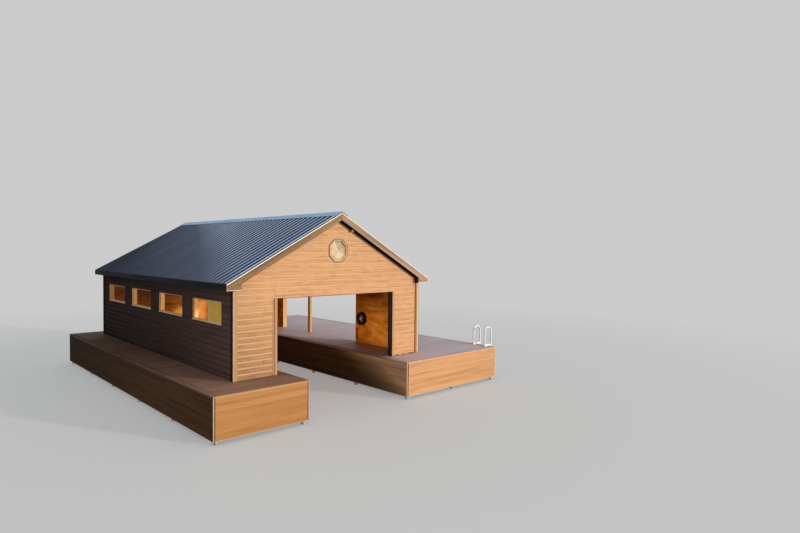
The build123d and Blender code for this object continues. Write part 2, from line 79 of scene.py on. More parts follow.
# %% Lines of the building
(DOCK_LEFT, DOCK_FRONT, DECK_UNDER), (SLIP_LEFT, SLIP_REAR, DECK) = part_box("deck_left")
SLIP_RIGHT, DOCK_RIGHT = (corner.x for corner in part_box("deck_right"))
DOCK_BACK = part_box("deck_rear")[1].y
(WALL_LEFT, WALL_FRONT, OPENING_TOP), (WALL_RIGHT, CORE_FRONT, APEX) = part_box("front_gable")
CORE_BACK, WALL_BACK = (corner.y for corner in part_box("back_wall"))
CORE_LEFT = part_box("left_wall_lower")[1].x
CORE_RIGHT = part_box("right_wall_header")[0].x
WALL_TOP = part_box("left_wall_upper")[1].z
OPENING_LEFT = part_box("front_wall_left")[1].x
OPENING_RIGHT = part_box("front_wall_right")[0].x
SIDE_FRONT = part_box("right_wall_front")[1].y
SIDE_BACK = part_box("right_wall_rear")[0].y
(_, ROOF_FRONT, FASCIA_FOOT), (EAVE_RIGHT, ROOF_BACK, _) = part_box("rake_boards")

RIDGE_X = (WALL_LEFT + WALL_RIGHT) / 2
PITCH = math.radians(28.86)
RISE = math.tan(PITCH)
ROOF_THICK = 0.043
RIDGE_TOP = APEX + ROOF_THICK / math.cos(PITCH)


def under_roof(x):
    """Height at x of the underside of the roof sheathing."""
    return APEX - abs(x - RIDGE_X) * RISE


def reach_at(z):
    """How far from the ridge line the gable reaches at height z."""
    return (APEX - z) / RISE


print("walls", round(WALL_RIGHT - WALL_LEFT, 3), "by", round(WALL_BACK - WALL_FRONT, 3), "metres")
print("deck at", round(DECK, 3), "and apex at", round(APEX, 3))

# %% [markdown]
# ## The camera
#
# The photograph was taken from in front of the dock, at the height of the eaves, with a wide lens. A camera
# can be placed by eye until the picture agrees, but a fit to the straight edges of the dock and roof is
# exact: it gave the place, the three angles and the focal length below.

# %% Camera
CAMERA_PLACE = (-9.9053, -16.6688, 4.0757)
CAMERA_TURNS = ((-43.206, "Z"), (88.379, "X"), (0.5635, "Z"))
SENSOR = 36.0
LENS = 25.45


def stand(name, data):
    """Stands an object with this data in the scene."""
    made = bpy.data.objects.new(name, data)
    bpy.context.scene.collection.objects.link(made)
    return made


camera = stand("camera", bpy.data.cameras.new("camera"))
camera.data.sensor_width = SENSOR
camera.data.lens = LENS
camera_pose = Matrix.Translation(CAMERA_PLACE)
for degrees, axis in CAMERA_TURNS:
    camera_pose = camera_pose @ Matrix.Rotation(math.radians(degrees), 4, axis)
camera.matrix_world = camera_pose
bpy.context.scene.camera = camera
print("camera at", CAMERA_PLACE, "with a lens of", LENS, "mm")

# %% [markdown]
# ## Finishes from nodes
#
# Every finish is worked out from the place of a point on the object, so it needs no picture. Wood is the
# main one: noise stretched along the board is its figure, a finer and longer noise is its grain, and each
# board has a number of its own that shifts the noise and changes the tone a little, as real boards differ.
# A helper that adds a node and links its inputs in one call keeps the recipes short enough to read.


# %% A helper for trees of nodes
def paint(red, green, blue):
    """A colour as a screen shows it, from 0 to 255, turned into the light that a shader wants."""
    shown = [value / 255 for value in (red, green, blue)]
    light = [value / 12.92 if value <= 0.04045 else ((value + 0.055) / 1.055) ** 2.4 for value in shown]
    return (*light, 1.0)


class Nodes:
    """A tree of shader nodes."""

    def __init__(self, tree):
        self.tree = tree

    def add(self, kind, inputs, out=0, **settings):
        """Adds a node, sets or links its inputs, and returns one of its outputs."""
        node = self.tree.nodes.new("ShaderNode" + kind)
        for key, value in settings.items():
            setattr(node, key, value)
        for key, value in inputs.items():
            if isinstance(value, bpy.types.NodeSocket):
                self.tree.links.new(value, node.inputs[key])
            else:
                node.inputs[key].default_value = value
        return node.outputs[out]

    def maths(self, way, *values):
        """One step of arithmetic."""
        return self.add("Math", dict(enumerate(values)), operation=way)

    def eyes(self):
        """1 for what the camera, a mirror or a pane looks at, 0 for what only gets light."""
        seen, mirrored, through = [self.add("LightPath", {}, out="Is " + ray + " Ray")
                                   for ray in ("Camera", "Glossy", "Transmission")]
        return self.maths("MAXIMUM", self.maths("MAXIMUM", seen, mirrored), through)

    def surface(self, share, first, second):
        """Sends a mix of two shaders to the end of the tree."""
        end = next(node for node in self.tree.nodes if node.type.startswith("OUTPUT"))
        self.tree.links.new(self.add("MixShader", {0: share, 1: first, 2: second}), end.inputs["Surface"])


print("a green of 128 on the screen is", round(paint(0, 128, 0)[1], 3), "as light")

# %% [markdown]
# ## The steps of a recipe
#
# Every finish repeats a few steps: find the point, stretch it, draw noise, turn it into colours, darken
# them, fade them toward one end as painted light and shade, and raise the surface. Nodes could be typed in
# for each finish, but with the steps written once and named, a recipe reads like what a painter does.

# %% A helper for recipes
FINISHES = {}
BOARD_SHIFT = (71.0, 43.0, 59.0)


class Recipe(Nodes):
    """A finish under construction."""

    def __init__(self, name, roughness=0.6, metallic=0.0, **sockets):
        FINISHES[name] = self.material = bpy.data.materials.new(name)
        self.material.use_nodes = True
        super().__init__(self.material.node_tree)
        self.shader = self.tree.nodes["Principled BSDF"]
        for socket, value in {"Roughness": roughness, "Metallic": metallic, **sockets}.items():
            self.shader.inputs[socket.replace("_", " ")].default_value = value

    def point(self):
        """The place of a point on the object."""
        return self.add("TexCoord", {}, out="Object")

    def mark(self, name):
        """A number that the mesh carries for each face."""
        return self.add("Attribute", {}, out="Fac", attribute_name=name)

    def place(self, factors, per_board=True, tilt=0.0):
        """The point on the object, stretched along the grain, and shifted board by board."""
        point = self.point()
        if tilt:
            point = self.add("VectorRotate", {"Vector": point, "Angle": tilt}, rotation_type="Y_AXIS")
        point = self.add("VectorMath", {0: point, 1: factors}, operation="MULTIPLY")
        if per_board:
            shift = self.add("VectorMath", {0: BOARD_SHIFT, "Scale": self.mark("board")}, operation="SCALE")
            point = self.add("VectorMath", {0: point, 1: shift}, operation="ADD")
        return point

    def noise(self, point, scale, detail=4.0, rough=0.55, twist=0.0):
        """Cloudy noise from 0 to 1."""
        inputs = {"Vector": point, "Scale": scale, "Detail": detail, "Roughness": rough, "Distortion": twist}
        return self.add("TexNoise", inputs)

    def spread(self, value, low, high, to_low, to_high):
        """Maps one range onto another, held at its ends."""
        keys = ("Value", "From Min", "From Max", "To Min", "To Max")
        return self.add("MapRange", dict(zip(keys, (value, low, high, to_low, to_high))))

    def blend(self, factor, first, second, way="MIX"):
        """Mixes two colours."""
        return self.add("Mix", {0: factor, 6: first, 7: second}, out=2, data_type="RGBA", blend_type=way)

    def ramp(self, value, *stops):
        """Colours along a value, from pairs of place and painted colour."""
        node = self.tree.nodes.new("ShaderNodeValToRGB")
        self.tree.links.new(value, node.inputs[0])
        elements = node.color_ramp.elements
        while len(elements) < len(stops):
            elements.new(0.5)
        for element, (place, colour) in zip(elements, stops):
            element.position = place
            element.color = paint(*colour)
        return node.outputs[0]

    def shade(self, colour, value, low, high, depth, factor=1.0):
        """Darkens a colour by depth where a value is low."""
        grey = self.spread(value, low, high, 1.0 - depth, 1.0)
        grey = self.add("CombineColor", {0: grey, 1: grey, 2: grey})
        return self.blend(factor, colour, grey, "MULTIPLY")

    def stretch(self, direction, start, end):
        """Goes from 0 to 1 while a point moves along a direction from start to end."""
        along = self.add("VectorMath", {0: self.point(), 1: direction}, out="Value", operation="DOT_PRODUCT")
        return self.spread(along, start, end, 0.0, 1.0)

    def fade(self, lit_gain, shaded_gain, *stretches):
        """A factor of painted light and shade that goes from the first gain to the second where all the
        stretches have reached their end.
        """
        share = 1.0
        for stretch in stretches:
            share = self.maths("MULTIPLY", share, self.stretch(*stretch))
        return self.maths("MULTIPLY", self.maths("POWER", shaded_gain / lit_gain, share), lit_gain)

    def toned(self, colour, number, low, high, painted_shading=None):
        """Makes a colour darker or lighter at random for each number, and darker or lighter along given
        directions, which is painted light and shade.
        """
        value = self.add("TexWhiteNoise", {"W": number}, noise_dimensions="1D")
        value = self.spread(value, 0.0, 1.0, low, high)
        if painted_shading:
            value = self.maths("MULTIPLY", value, self.fade(*painted_shading))
        return self.add("HueSaturation", {"Value": value, "Color": colour})

    def bump(self, height, depth, strength=1.0):
        """Raises the surface by up to depth, in metres."""
        raised = self.add("Bump", {"Height": height, "Distance": depth, "Strength": strength})
        self.tree.links.new(raised, self.shader.inputs["Normal"])

    def done(self, colour, gloss=None):
        """Links the colour and, where it varies, the roughness."""
        self.tree.links.new(colour, self.shader.inputs["Base Color"])
        if gloss is not None:
            self.tree.links.new(gloss, self.shader.inputs["Roughness"])


print("a recipe has", len([step for step in vars(Recipe) if step[0] != "_"]), "steps to choose from")

# %% [markdown]
# ## Wood, stained or bare
#
# The front boards are stained a warm tan, the side walls a very dark brown, and the skirts are an orange tan.
# The skirts of the sides, the back and the slip are darker copies of that tan, and the front left one a
# duller copy, all painted shade. All of them are one recipe with other colours. The grain says which way the
# boards
# run: the noise is stretched by a small factor along them and a large one across. The tan boards also have
# thin threads and short dashes. Toward the back and in the slip the boards are in shade, and a recipe paints
# that shade by fading its tone along a direction and by turning its tint at one end. A paler colour on the
# lips of some boards is a painted highlight.


# %% Wood
ALONG = 0.22
ACROSS = 8.0
GRAIN = {"X": (ALONG, ACROSS, ACROSS), "Y": (ACROSS, ALONG, ACROSS), "Z": (ACROSS, ACROSS, ALONG)}
DASHES = (3.4, 17.0, 17.0)
TO_THE_RIGHT, TO_THE_BACK, UPWARD = (1.0, 0.0, 0.0), (0.0, 1.0, 0.0), (0.0, 0.0, 1.0)


def wood(name, grain, light, middle, dark, streak=0.1, differ=0.04, rough=0.6, depth=0.0012, tilt=0.0,
         sheen=0.3, edge=None, scale=1.0, threads=0.0, flecks=0.0, painted_shading=None, turn=None):
    """Boards with figure, fine grain, dark streaks and a tone that differs board by board, with painted light
    and shade faded along directions, a painted shade tint at one end and a painted highlight on the lips.
    """
    recipe = Recipe(name, rough, Specular_IOR_Level=sheen)
    point = recipe.place(GRAIN[grain], tilt=tilt)
    figure = recipe.noise(point, scale, twist=0.15)
    colour = recipe.ramp(figure, (0.3, dark), (0.48, middle), (0.68, light))
    fine = recipe.noise(point, 7.0, detail=6.0, rough=0.7, twist=0.1)
    colour = recipe.shade(colour, fine, 0.32, 0.62, streak, 0.8)
    if threads:
        thin = recipe.noise(point, 5.5, detail=2.0, rough=0.4)
        colour = recipe.shade(colour, thin, 0.36, 0.43, threads)
    if flecks:
        dash = recipe.noise(recipe.place(DASHES), 1.0, detail=3.0, rough=0.6)
        colour = recipe.shade(colour, dash, 0.38, 0.5, flecks)
    # The turn tints one end of the boards: painted shade.
    if turn:
        tint, *stretch = turn
        tinted = recipe.blend(1.0, colour, tint, "MULTIPLY")
        colour = recipe.blend(recipe.stretch(*stretch), colour, tinted)
    colour = recipe.toned(colour, recipe.mark("board"), 1.0 - differ, 1.0 + differ, painted_shading)
    # The edge colour on the lip faces is a painted highlight.
    if edge:
        colour = recipe.blend(recipe.mark("lip"), colour, paint(*edge))
    recipe.bump(fine, depth)
    recipe.done(colour, recipe.spread(fine, 0.3, 0.7, rough + 0.12, rough - 0.08))


# siding_tan is painted darker toward the lower left, and siding_dark lighter at the front and darker toward
# the back: painted light and shade. The paler edge colour on the hollows is a painted highlight.
wood("siding_tan", "X", (230, 174, 121), (224, 166, 113), (215, 156, 104), differ=0.03, edge=(236, 185, 132),
     scale=2.0, threads=0.16, flecks=0.16, painted_shading=(1.03, 0.62, ((-0.5, 0.0, -0.6), -0.35, 1.1)))
wood("siding_dark", "Y", (68, 51, 46), (60, 45, 40), (48, 35, 32), streak=0.2, differ=0.06,
     rough=0.75, sheen=0.05, edge=(74, 58, 53), painted_shading=(3.3, 0.36, (TO_THE_BACK, -4.7, 5.6)))
wood("trim_tan", "Z", (230, 174, 126), (219, 163, 114), (200, 144, 97))
wood("corner_board_tan", "Z", (208, 152, 98), (198, 142, 88), (180, 126, 76), differ=0.03)
wood("trim_dark", "Z", (64, 44, 38), (54, 38, 33), (42, 29, 25), streak=0.15, differ=0.1, rough=0.75,
     sheen=0.05)
# All skirts are one tan stain: the front left, side, back and slip ones are darker copies of the front right,
# and the sides and the slip also fade darker toward the back, all painted light and shade.
wood("skirt_boards_front_left", "X", (204, 143, 81), (191, 131, 70), (174, 120, 63), differ=0.03,
     threads=0.15)
wood("skirt_boards_front_right", "X", (236, 176, 122), (222, 162, 108), (202, 147, 98), differ=0.03,
     threads=0.15)
wood("skirt_boards_side", "Y", (96, 68, 45), (84, 58, 37), (66, 44, 27), streak=0.25, differ=0.07,
     sheen=0.02, painted_shading=(1.25, 0.42, (TO_THE_BACK, -2.5, 5.2)))
wood("skirt_boards_slip", "Y", (170, 142, 110), (154, 127, 97), (126, 102, 76), streak=0.2, differ=0.07,
     sheen=0.03, painted_shading=(2.0, 0.26, ((0.0, 1.0, -2.0), -6.3, -4.3)))
wood("skirt_boards_back", "X", (92, 66, 44), (80, 56, 36), (62, 42, 26), streak=0.25, differ=0.07,
     sheen=0.04)
for name, grain in (("pine_level", "Y"), ("pine_upright", "Z")):
    wood(name, grain, (246, 208, 150), (236, 192, 130), (210, 160, 98), streak=0.18, differ=0.05, rough=0.5,
         sheen=0.15)
# sill_pale is a paler copy of the pine: a painted highlight for the lit sills and the screen's bars.
wood("sill_pale", "Y", (255, 236, 204), (250, 226, 190), (232, 200, 160), rough=0.5, sheen=0.2)
for name, grain in (("frame_timber_long", "Y"), ("frame_timber_cross", "X")):
    wood(name, grain, (198, 168, 118), (182, 148, 98), (146, 112, 68), streak=0.3, differ=0.08, rough=0.75)
print("woods:", len(FINISHES))

# %% [markdown]
# ## Composite deck and rake boards
#
# The deck is a composite board, mauve-brown and a little dull, with faint streaks along each board. The
# rake boards are a greyer one with a marked grain that follows their slope, the left board a darker copy of
# the right, which is painted shade. Both use the wood recipe with softer contrast. The left arm's boards are
# a browner, darker copy of the right arm's; the right arm's darken where they run indoors, the left arm's
# along the dark wall, and the rear deck darkens and turns browner toward the left: all of this is painted
# shade. The paler front edge of the front borders is a painted highlight.

# %% Composite boards
MATT = {"rough": 0.75, "depth": 0.0008, "sheen": 0.02}
INDOORS = ((TO_THE_BACK, -4.9, -4.5), (TO_THE_BACK, -0.8, -2.6), (TO_THE_RIGHT, 2.05, 1.8))
BY_THE_WALL = (TO_THE_BACK, -5.7, 1.0)
# The left arm's boards and borders are a darker, browner copy of the right arm's, every deck finish fades
# darker along its stretches, and the rear deck's left end is tinted browner: painted shade. The edge colour
# on the front borders is a painted highlight.
wood("deck_boards_left", "X", (156, 122, 103), (141, 108, 90), (122, 93, 77), edge=(200, 146, 94),
     painted_shading=(1.4, 0.5, BY_THE_WALL), **MATT)
wood("deck_boards_right", "X", (222, 200, 206), (209, 187, 193), (192, 169, 174), streak=0.08, differ=0.03,
     rough=0.5, depth=0.0008, sheen=0.4, edge=(228, 170, 116), painted_shading=(1.0, 0.36, *INDOORS))
wood("deck_boards_border", "Y", (216, 191, 190), (200, 175, 174), (178, 154, 152), rough=0.7, depth=0.0008,
     sheen=0.1, painted_shading=(1.0, 0.36, *INDOORS))
wood("deck_boards_border_left", "Y", (150, 118, 102), (137, 106, 90), (118, 91, 77),
     painted_shading=(1.45, 0.5, BY_THE_WALL), **MATT)
wood("deck_boards_rear", "X", (222, 199, 202), (209, 186, 189), (192, 168, 170), streak=0.08, differ=0.03,
     rough=0.65, depth=0.0008, sheen=0.1, painted_shading=(1.0, 0.24, (TO_THE_RIGHT, 0.7, -3.9)),
     turn=((0.84, 0.62, 0.42, 1.0), TO_THE_RIGHT, -3.2, -3.8))
# The left rake board is a darker copy of the right one: painted shade.
wood("rake_board_left", "X", (176, 137, 95), (147, 112, 73), (106, 77, 46), streak=0.25, rough=0.65,
     tilt=PITCH, scale=2.4)
wood("rake_board_right", "X", (204, 166, 136), (176, 139, 111), (138, 105, 80), streak=0.25, rough=0.65,
     tilt=-PITCH, scale=2.4)
print("woods and composites:", len(FINISHES))

# %% [markdown]
# ## Plywood
#
# The linings are varnished plywood of a warm orange. Its face is peeled from a turning log, so the rings
# come out as broad wandering bands. Noise that is itself pushed about by noise gives those bands, and each
# sheet has its own number, so that no two sheets match.


# %% Plywood
def plywood(name, along, painted_shading=None):
    """Peeled face veneer: bands that wander along the sheet, with fine lines over them."""
    recipe = Recipe(name, roughness=0.45, Specular_IOR_Level=0.12)
    point = recipe.place(along)
    bands = recipe.noise(point, 0.8, detail=3.0, rough=0.5, twist=2.6)
    colour = recipe.ramp(bands, (0.28, (158, 84, 18)), (0.42, (206, 124, 38)), (0.55, (230, 152, 60)),
                         (0.72, (252, 190, 98)))
    lines = recipe.noise(point, 6.0, detail=6.0, rough=0.7, twist=0.6)
    colour = recipe.shade(colour, lines, 0.35, 0.6, 0.28, 0.7)
    colour = recipe.toned(colour, recipe.mark("board"), 0.84, 1.12, painted_shading)
    recipe.bump(lines, 0.0006)
    recipe.done(colour, recipe.spread(lines, 0.3, 0.7, 0.5, 0.34))


ALONG_Y = (1.6, 0.45, 1.9)
ALONG_X = (0.45, 1.6, 1.9)
plywood("plywood_side", ALONG_Y)
plywood("plywood_end", ALONG_X)
# The right lining is painted darker toward the top, and the back lining lighter on the right and darker
# toward its left end: painted light and shade.
plywood("plywood_right", ALONG_Y, (1.05, 0.66, (UPWARD, 1.6, 2.7)))
plywood("plywood_back", ALONG_X, (1.38, 0.56, (TO_THE_RIGHT, -1.4, -2.5)))
plywood("sheathing_face", (0.9, 0.5, 0.9))
print("finishes with the plywood:", len(FINISHES))

# %% [markdown]
# ## The roof's coat
#
# The roof is painted sheet, charcoal with a blue cast, and its colour carries painted light: near the front
# of the slope the pans have a painted blue sheen of the sky, and the sides and crests of the ribs are painted
# pale as a painted highlight; toward the back and the eave the painted tone turns first to a lighter grey and
# then to a dull dark one. The distance down the slope and back from the gable is worked out from the place of
# a point, and three ramps over the same streaks are blended along it. Every sheet, 914 mm wide, has a tone of
# its own.

# %% Roof coat
SHEET_WIDE = 0.9144


def roof_sheet():
    """Charcoal coat with painted sheen and painted highlights on the ribs near the front, and a painted grey
    then dark tone toward the back and the eaves.
    """
    recipe = Recipe("roof_metal", roughness=0.6, Specular_IOR_Level=0.04)
    streaks = recipe.noise(recipe.place((0.35, 5.0, 0.35), per_board=False), 1.6, detail=5.0, rough=0.6)
    near_painted_sheen = recipe.ramp(streaks, (0.3, (20, 43, 90)), (0.7, (34, 61, 114)))
    middle_painted_tone = recipe.ramp(streaks, (0.3, (107, 115, 137)), (0.7, (121, 130, 153)))
    far_painted_tone = recipe.ramp(streaks, (0.3, (63, 69, 84)), (0.7, (75, 81, 97)))
    across, along, height = [recipe.add("SeparateXYZ", {0: recipe.point()}, out=axis) for axis in range(3)]
    from_ridge = recipe.maths("ABSOLUTE", recipe.maths("SUBTRACT", across, RIDGE_X))
    lifted = recipe.maths("MULTIPLY_ADD", from_ridge, RISE, height)
    crest_highlight = recipe.spread(lifted, RIDGE_TOP - 0.014, RIDGE_TOP - 0.006, 0.0, 0.5)
    # The sides and crests of the ribs are painted pale: a painted highlight.
    normal_y = recipe.add("SeparateXYZ", {0: recipe.add("TexCoord", {}, out="Normal")}, out=1)
    rib_side_highlight = recipe.spread(recipe.maths("ABSOLUTE", normal_y), 0.3, 0.7, 0.0, 1.0)
    near_painted_sheen = recipe.blend(recipe.maths("MAXIMUM", rib_side_highlight, crest_highlight), near_painted_sheen, paint(216, 234, 255))
    path = recipe.maths("MULTIPLY_ADD", from_ridge, 2.5, along)
    far_painted_tone = recipe.blend(recipe.spread(path, 3.8, 10.5, 0.0, 1.0), middle_painted_tone, far_painted_tone)
    colour = recipe.blend(recipe.spread(path, 2.2, 4.3, 0.0, 1.0), near_painted_sheen, far_painted_tone)
    hem = recipe.spread(along, ROOF_FRONT + 0.03, ROOF_FRONT + 0.09, 0.7, 0.0)
    colour = recipe.blend(hem, colour, paint(92, 88, 96))
    number = recipe.maths("FLOOR", recipe.maths("DIVIDE", along, SHEET_WIDE))
    colour = recipe.toned(colour, number, 0.94, 1.06)
    wave = recipe.noise(recipe.place((1.2, 3.0, 1.2), per_board=False), 1.0, detail=2.0)
    recipe.bump(wave, 0.002, strength=0.5)
    recipe.done(colour, recipe.spread(streaks, 0.3, 0.7, 0.66, 0.54))


roof_sheet()
print("roof sheets:", math.ceil((ROOF_BACK - ROOF_FRONT) / SHEET_WIDE), "on each slope")

# %% [markdown]
# ## Other metals, glass and plastics
#
# Galvanised pipe shows its zinc crystals, which cell noise draws well. The other coats only need clean
# values and a little unevenness in the gloss; where a coat's colour is painted light or shade, it says so
# beside it. Glass is a thin film that lets most light straight through; the pane of the octagonal window is
# obscured, and each of its facets has a number that sets its tone, painted light and shade as the facets
# would catch the sun.


# %% Metals and glass
def coated(name, light, dark, rough=0.5, metallic=0.0, stretch=(2.0, 2.0, 2.0), scale=2.0, sheen=0.5):
    """Painted or bare metal with a little dust, so that the gloss isn't even."""
    recipe = Recipe(name, rough, metallic, Specular_IOR_Level=sheen)
    point = recipe.place(stretch, per_board=False)
    cloud = recipe.noise(point, scale, detail=5.0, rough=0.6)
    recipe.bump(recipe.noise(point, scale * 9.0, detail=3.0), 0.0003)
    recipe.done(recipe.ramp(cloud, (0.32, dark), (0.66, light)),
                recipe.spread(cloud, 0.3, 0.7, rough + 0.1, rough - 0.05))


def galvanised():
    """Zinc crystals on dull steel."""
    recipe = Recipe("pile_steel", roughness=0.45, metallic=0.75)
    crystals = recipe.add("TexVoronoi", {"Vector": recipe.point(), "Scale": 60.0}, out="Color")
    tone = recipe.add("SeparateColor", {0: crystals})
    colour = recipe.ramp(tone, (0.0, (150, 154, 156)), (1.0, (196, 199, 200)))
    recipe.done(colour, recipe.spread(tone, 0.0, 1.0, 0.36, 0.55))


def pane(name, light, dark, rough, alpha, sheen=0.5):
    """Glass; the noise in its gloss is grime."""
    recipe = Recipe(name, rough, Alpha=alpha, Specular_IOR_Level=sheen)
    cloud = recipe.noise(recipe.place((1.5, 1.5, 1.5), per_board=False), 2.0)
    # The number sets the tone: at random on the window panes, as painted light and shade on the octagon's
    # facets.
    value = recipe.spread(recipe.mark("board"), 0.0, 1.0, 0.52, 1.16)
    colour = recipe.ramp(cloud, (0.3, dark), (0.7, light))
    colour = recipe.add("HueSaturation", {"Value": value, "Color": colour})
    recipe.done(colour, recipe.spread(cloud, 0.3, 0.7, rough, rough + 0.04))


galvanised()
# The ridge cap's bright blue-white is a painted reflection of the sky.
coated("ridge_cap_metal", (192, 232, 255), (166, 206, 255), stretch=(1.0, 0.6, 1.0), sheen=0.12)
coated("rake_edge_metal", (255, 242, 222), (248, 230, 206))
coated("fascia_black", (33, 36, 42), (25, 28, 33), rough=0.65, stretch=(1.0, 0.4, 4.0), sheen=0.1)
coated("soffit_dark", (44, 36, 32), (32, 26, 23), rough=0.7, sheen=0.15)
coated("liner_black", (44, 44, 54), (34, 34, 42), sheen=0.3)
coated("track_grey", (110, 110, 120), (90, 90, 98), rough=0.6)
# The three skirt strips are one trim: the pale one is a painted highlight, the left one a duller copy and the
# dark one a shaded copy, painted shade.
coated("skirt_edge_strip", (242, 200, 156), (228, 186, 140))
coated("skirt_edge_strip_left", (214, 172, 132), (202, 160, 120))
coated("skirt_edge_strip_dark", (122, 94, 74), (104, 78, 60), rough=0.6, sheen=0.1)
# The left corners' strip is a duller copy of the right corners': painted shade.
coated("corner_edge_strip", (240, 192, 148), (228, 178, 136), rough=0.55)
coated("corner_edge_strip_left", (206, 164, 132), (192, 150, 118), rough=0.6)
coated("ladder_metal", (255, 253, 250), (246, 243, 240), rough=0.4)
coated("screw_heads", (86, 96, 118), (70, 80, 100), rough=0.4, metallic=0.4)
coated("lamp_beige", (196, 172, 132), (176, 150, 112), rough=0.4)
coated("reel_black", (34, 34, 38), (20, 20, 23), rough=0.45, scale=8.0, sheen=0.3)
coated("reel_plate", (216, 176, 152), (190, 150, 128), scale=6.0)
coated("octagon_white", (224, 192, 154), (208, 176, 138))
coated("octagon_dark_ring", (104, 74, 52), (88, 62, 43), rough=0.7)
coated("screen_straw", (255, 210, 104), (248, 190, 84), rough=0.7, scale=3.0, sheen=0.1)
pane("window_pane", (90, 92, 84), (70, 72, 66), rough=0.03, alpha=0.02, sheen=0.2)
pane("octagon_pane", (236, 204, 156), (196, 160, 114), rough=0.25, alpha=0.96)
print("finishes:", len(FINISHES))

# %% [markdown]
# ## A joiner's bench
#
# Nearly everything here is a board. Blender's own cube could be scaled for each, but a sawn board has eased
# edges that catch the light, and thousands of objects would be slow. So a bench gathers boards as corners
# and faces, marks every face with its board's number for the wood recipe, and makes one mesh at the end.


# %% The bench
def eased_faces():
    """Faces of a block whose 24 corners are numbered corner by corner, three to each."""
    corners = list(itertools.product((0, 1), repeat=3))
    number = {(corner, axis): index * 3 + axis for index, corner in enumerate(corners) for axis in range(3)}
    faces = []
    for axis in range(3):
        for side in (0, 1):
            face = [c for c in corners if c[axis] == side]
            faces.append([number[face[index], axis] for index in (0, 1, 3, 2)])
        first, second = [other for other in range(3) if other != axis]
        for sides in itertools.product((0, 1), repeat=2):
            start, end = [c for c in corners if (c[first], c[second]) == sides]
            faces.append([number[start, first], number[end, first],
                          number[end, second], number[start, second]])
    faces += [[number[corner, axis] for axis in range(3)] for corner in corners]
    return corners, faces


EASED_CORNERS, EASED_FACES = eased_faces()
EASE = 0.003
FINE_EASE = 0.002


class Bench:
    """Gathers boards and makes one mesh of them."""

    def __init__(self, seed):
        self.points = []
        self.faces = []
        self.marks = []
        self.lips = []
        self.draw = random.Random(seed)

    def add(self, points, faces, mark=None, lips=()):
        """Adds a closed form; mark is its board's number, and lips are the faces that get a painted
        highlight.
        """
        mark = self.draw.random() if mark is None else mark
        start = len(self.points)
        self.points.extend(tuple(point) for point in points)
        self.faces.extend([start + index for index in face] for face in faces)
        self.marks.extend([mark] * len(faces))
        self.lips.extend(1.0 if index in lips else 0.0 for index in range(len(faces)))

    def block(self, corner, opposite, mark=None, ease=EASE):
        """A square board between two opposite corners, with eased edges."""
        low, high = zip(*(sorted(pair) for pair in zip(corner, opposite)))
        ease = min(ease, *[(high[axis] - low[axis]) * 0.3 for axis in range(3)])
        points = []
        for sides, axis in itertools.product(EASED_CORNERS, range(3)):
            insets = [0 if other == axis else ease for other in range(3)]
            points.append([high[other] - insets[other] if sides[other] else low[other] + insets[other]
                           for other in range(3)])
        self.add(points, EASED_FACES, mark)

    def prism(self, outline, place, start, end, mark=None, lips=()):
        """An outline of (a, b) pairs run from start to end; each of the two may depend on a and b."""
        count = len(outline)
        points = [place(a, b, stop(a, b) if callable(stop) else stop)
                  for stop in (start, end) for a, b in outline]
        faces = [[i, (i + 1) % count, count + (i + 1) % count, count + i] for i in range(count)]
        faces += [list(range(count)), list(range(count, 2 * count))]
        self.add(points, faces, mark, lips)

    def turned(self, profile, middle, axis, steps=24, mark=None):
        """A profile of (radius, along) pairs turned about an axis through middle; it ends on the axis."""
        spin = Vector(axis).normalized()
        side = spin.orthogonal().normalized()
        up = spin.cross(side)
        rings = []
        points = []
        for radius, along in profile:
            base = Vector(middle) + spin * along
            if radius == 0:
                rings.append([len(points)] * steps)
                points.append(base)
                continue
            rings.append([len(points) + step for step in range(steps)])
            for step in range(steps):
                angle = math.tau * step / steps
                points.append(base + (side * math.cos(angle) + up * math.sin(angle)) * radius)
        faces = []
        for low, high in zip(rings, rings[1:]):
            for step in range(steps):
                after = (step + 1) % steps
                faces.append(list(dict.fromkeys([low[step], low[after], high[after], high[step]])))
        self.add(points, faces, mark)

    def piece(self, name, finish, slot, *nodes, smooth=False):
        """Hands over the mesh as a piece of the building, in place of the nodes it stands for."""
        mesh = bpy.data.meshes.new(name)
        mesh.from_pydata(self.points, [], self.faces)
        shell = bmesh.new()
        shell.from_mesh(mesh)
        bmesh.ops.recalc_face_normals(shell, faces=shell.faces)
        shell.to_mesh(mesh)
        shell.free()
        mesh.attributes.new("board", "FLOAT", "FACE").data.foreach_set("value", self.marks)
        mesh.attributes.new("lip", "FLOAT", "FACE").data.foreach_set("value", self.lips)
        if smooth:
            mesh.shade_smooth()
            mesh.set_sharp_from_angle(angle=math.radians(35))
        mesh.materials.append(FINISHES[finish])
        made = stand(name, mesh)
        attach(made, "root")
        if nodes:
            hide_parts(*nodes)
        print(name, "faces:", len(mesh.polygons))


print("an eased block has", len(EASED_FACES), "faces")

# %% [markdown]
# ## Faces and holes
#
# Siding, skirts and linings are all laid on a flat face, from its left to its right and from its foot up. A
# place on such a face has a depth behind it, a height and a distance along it, so one description serves all
# the sides of the building. Where a window or an opening takes a bite out, a course or a sheet is cut into
# what is left of it beside the hole.


# %% Faces and holes
def facing(side, at):
    """Turns (depth, z, along) into a point behind a face at a plane; side says where the face looks."""
    way = 1 if side in ("front", "left") else -1
    if side in ("front", "back"):
        return lambda depth, z, along: (along, at + way * depth, z)
    return lambda depth, z, along: (at + way * depth, along, z)


def inwards(place):
    """The same for an outline drawn on the face and run inwards."""
    return lambda along, z, depth: place(depth, z, along)


def oblong(low_a, high_a, low_b, high_b):
    """The four corners of an oblong outline."""
    return [(low_a, low_b), (high_a, low_b), (high_a, high_b), (low_a, high_b)]


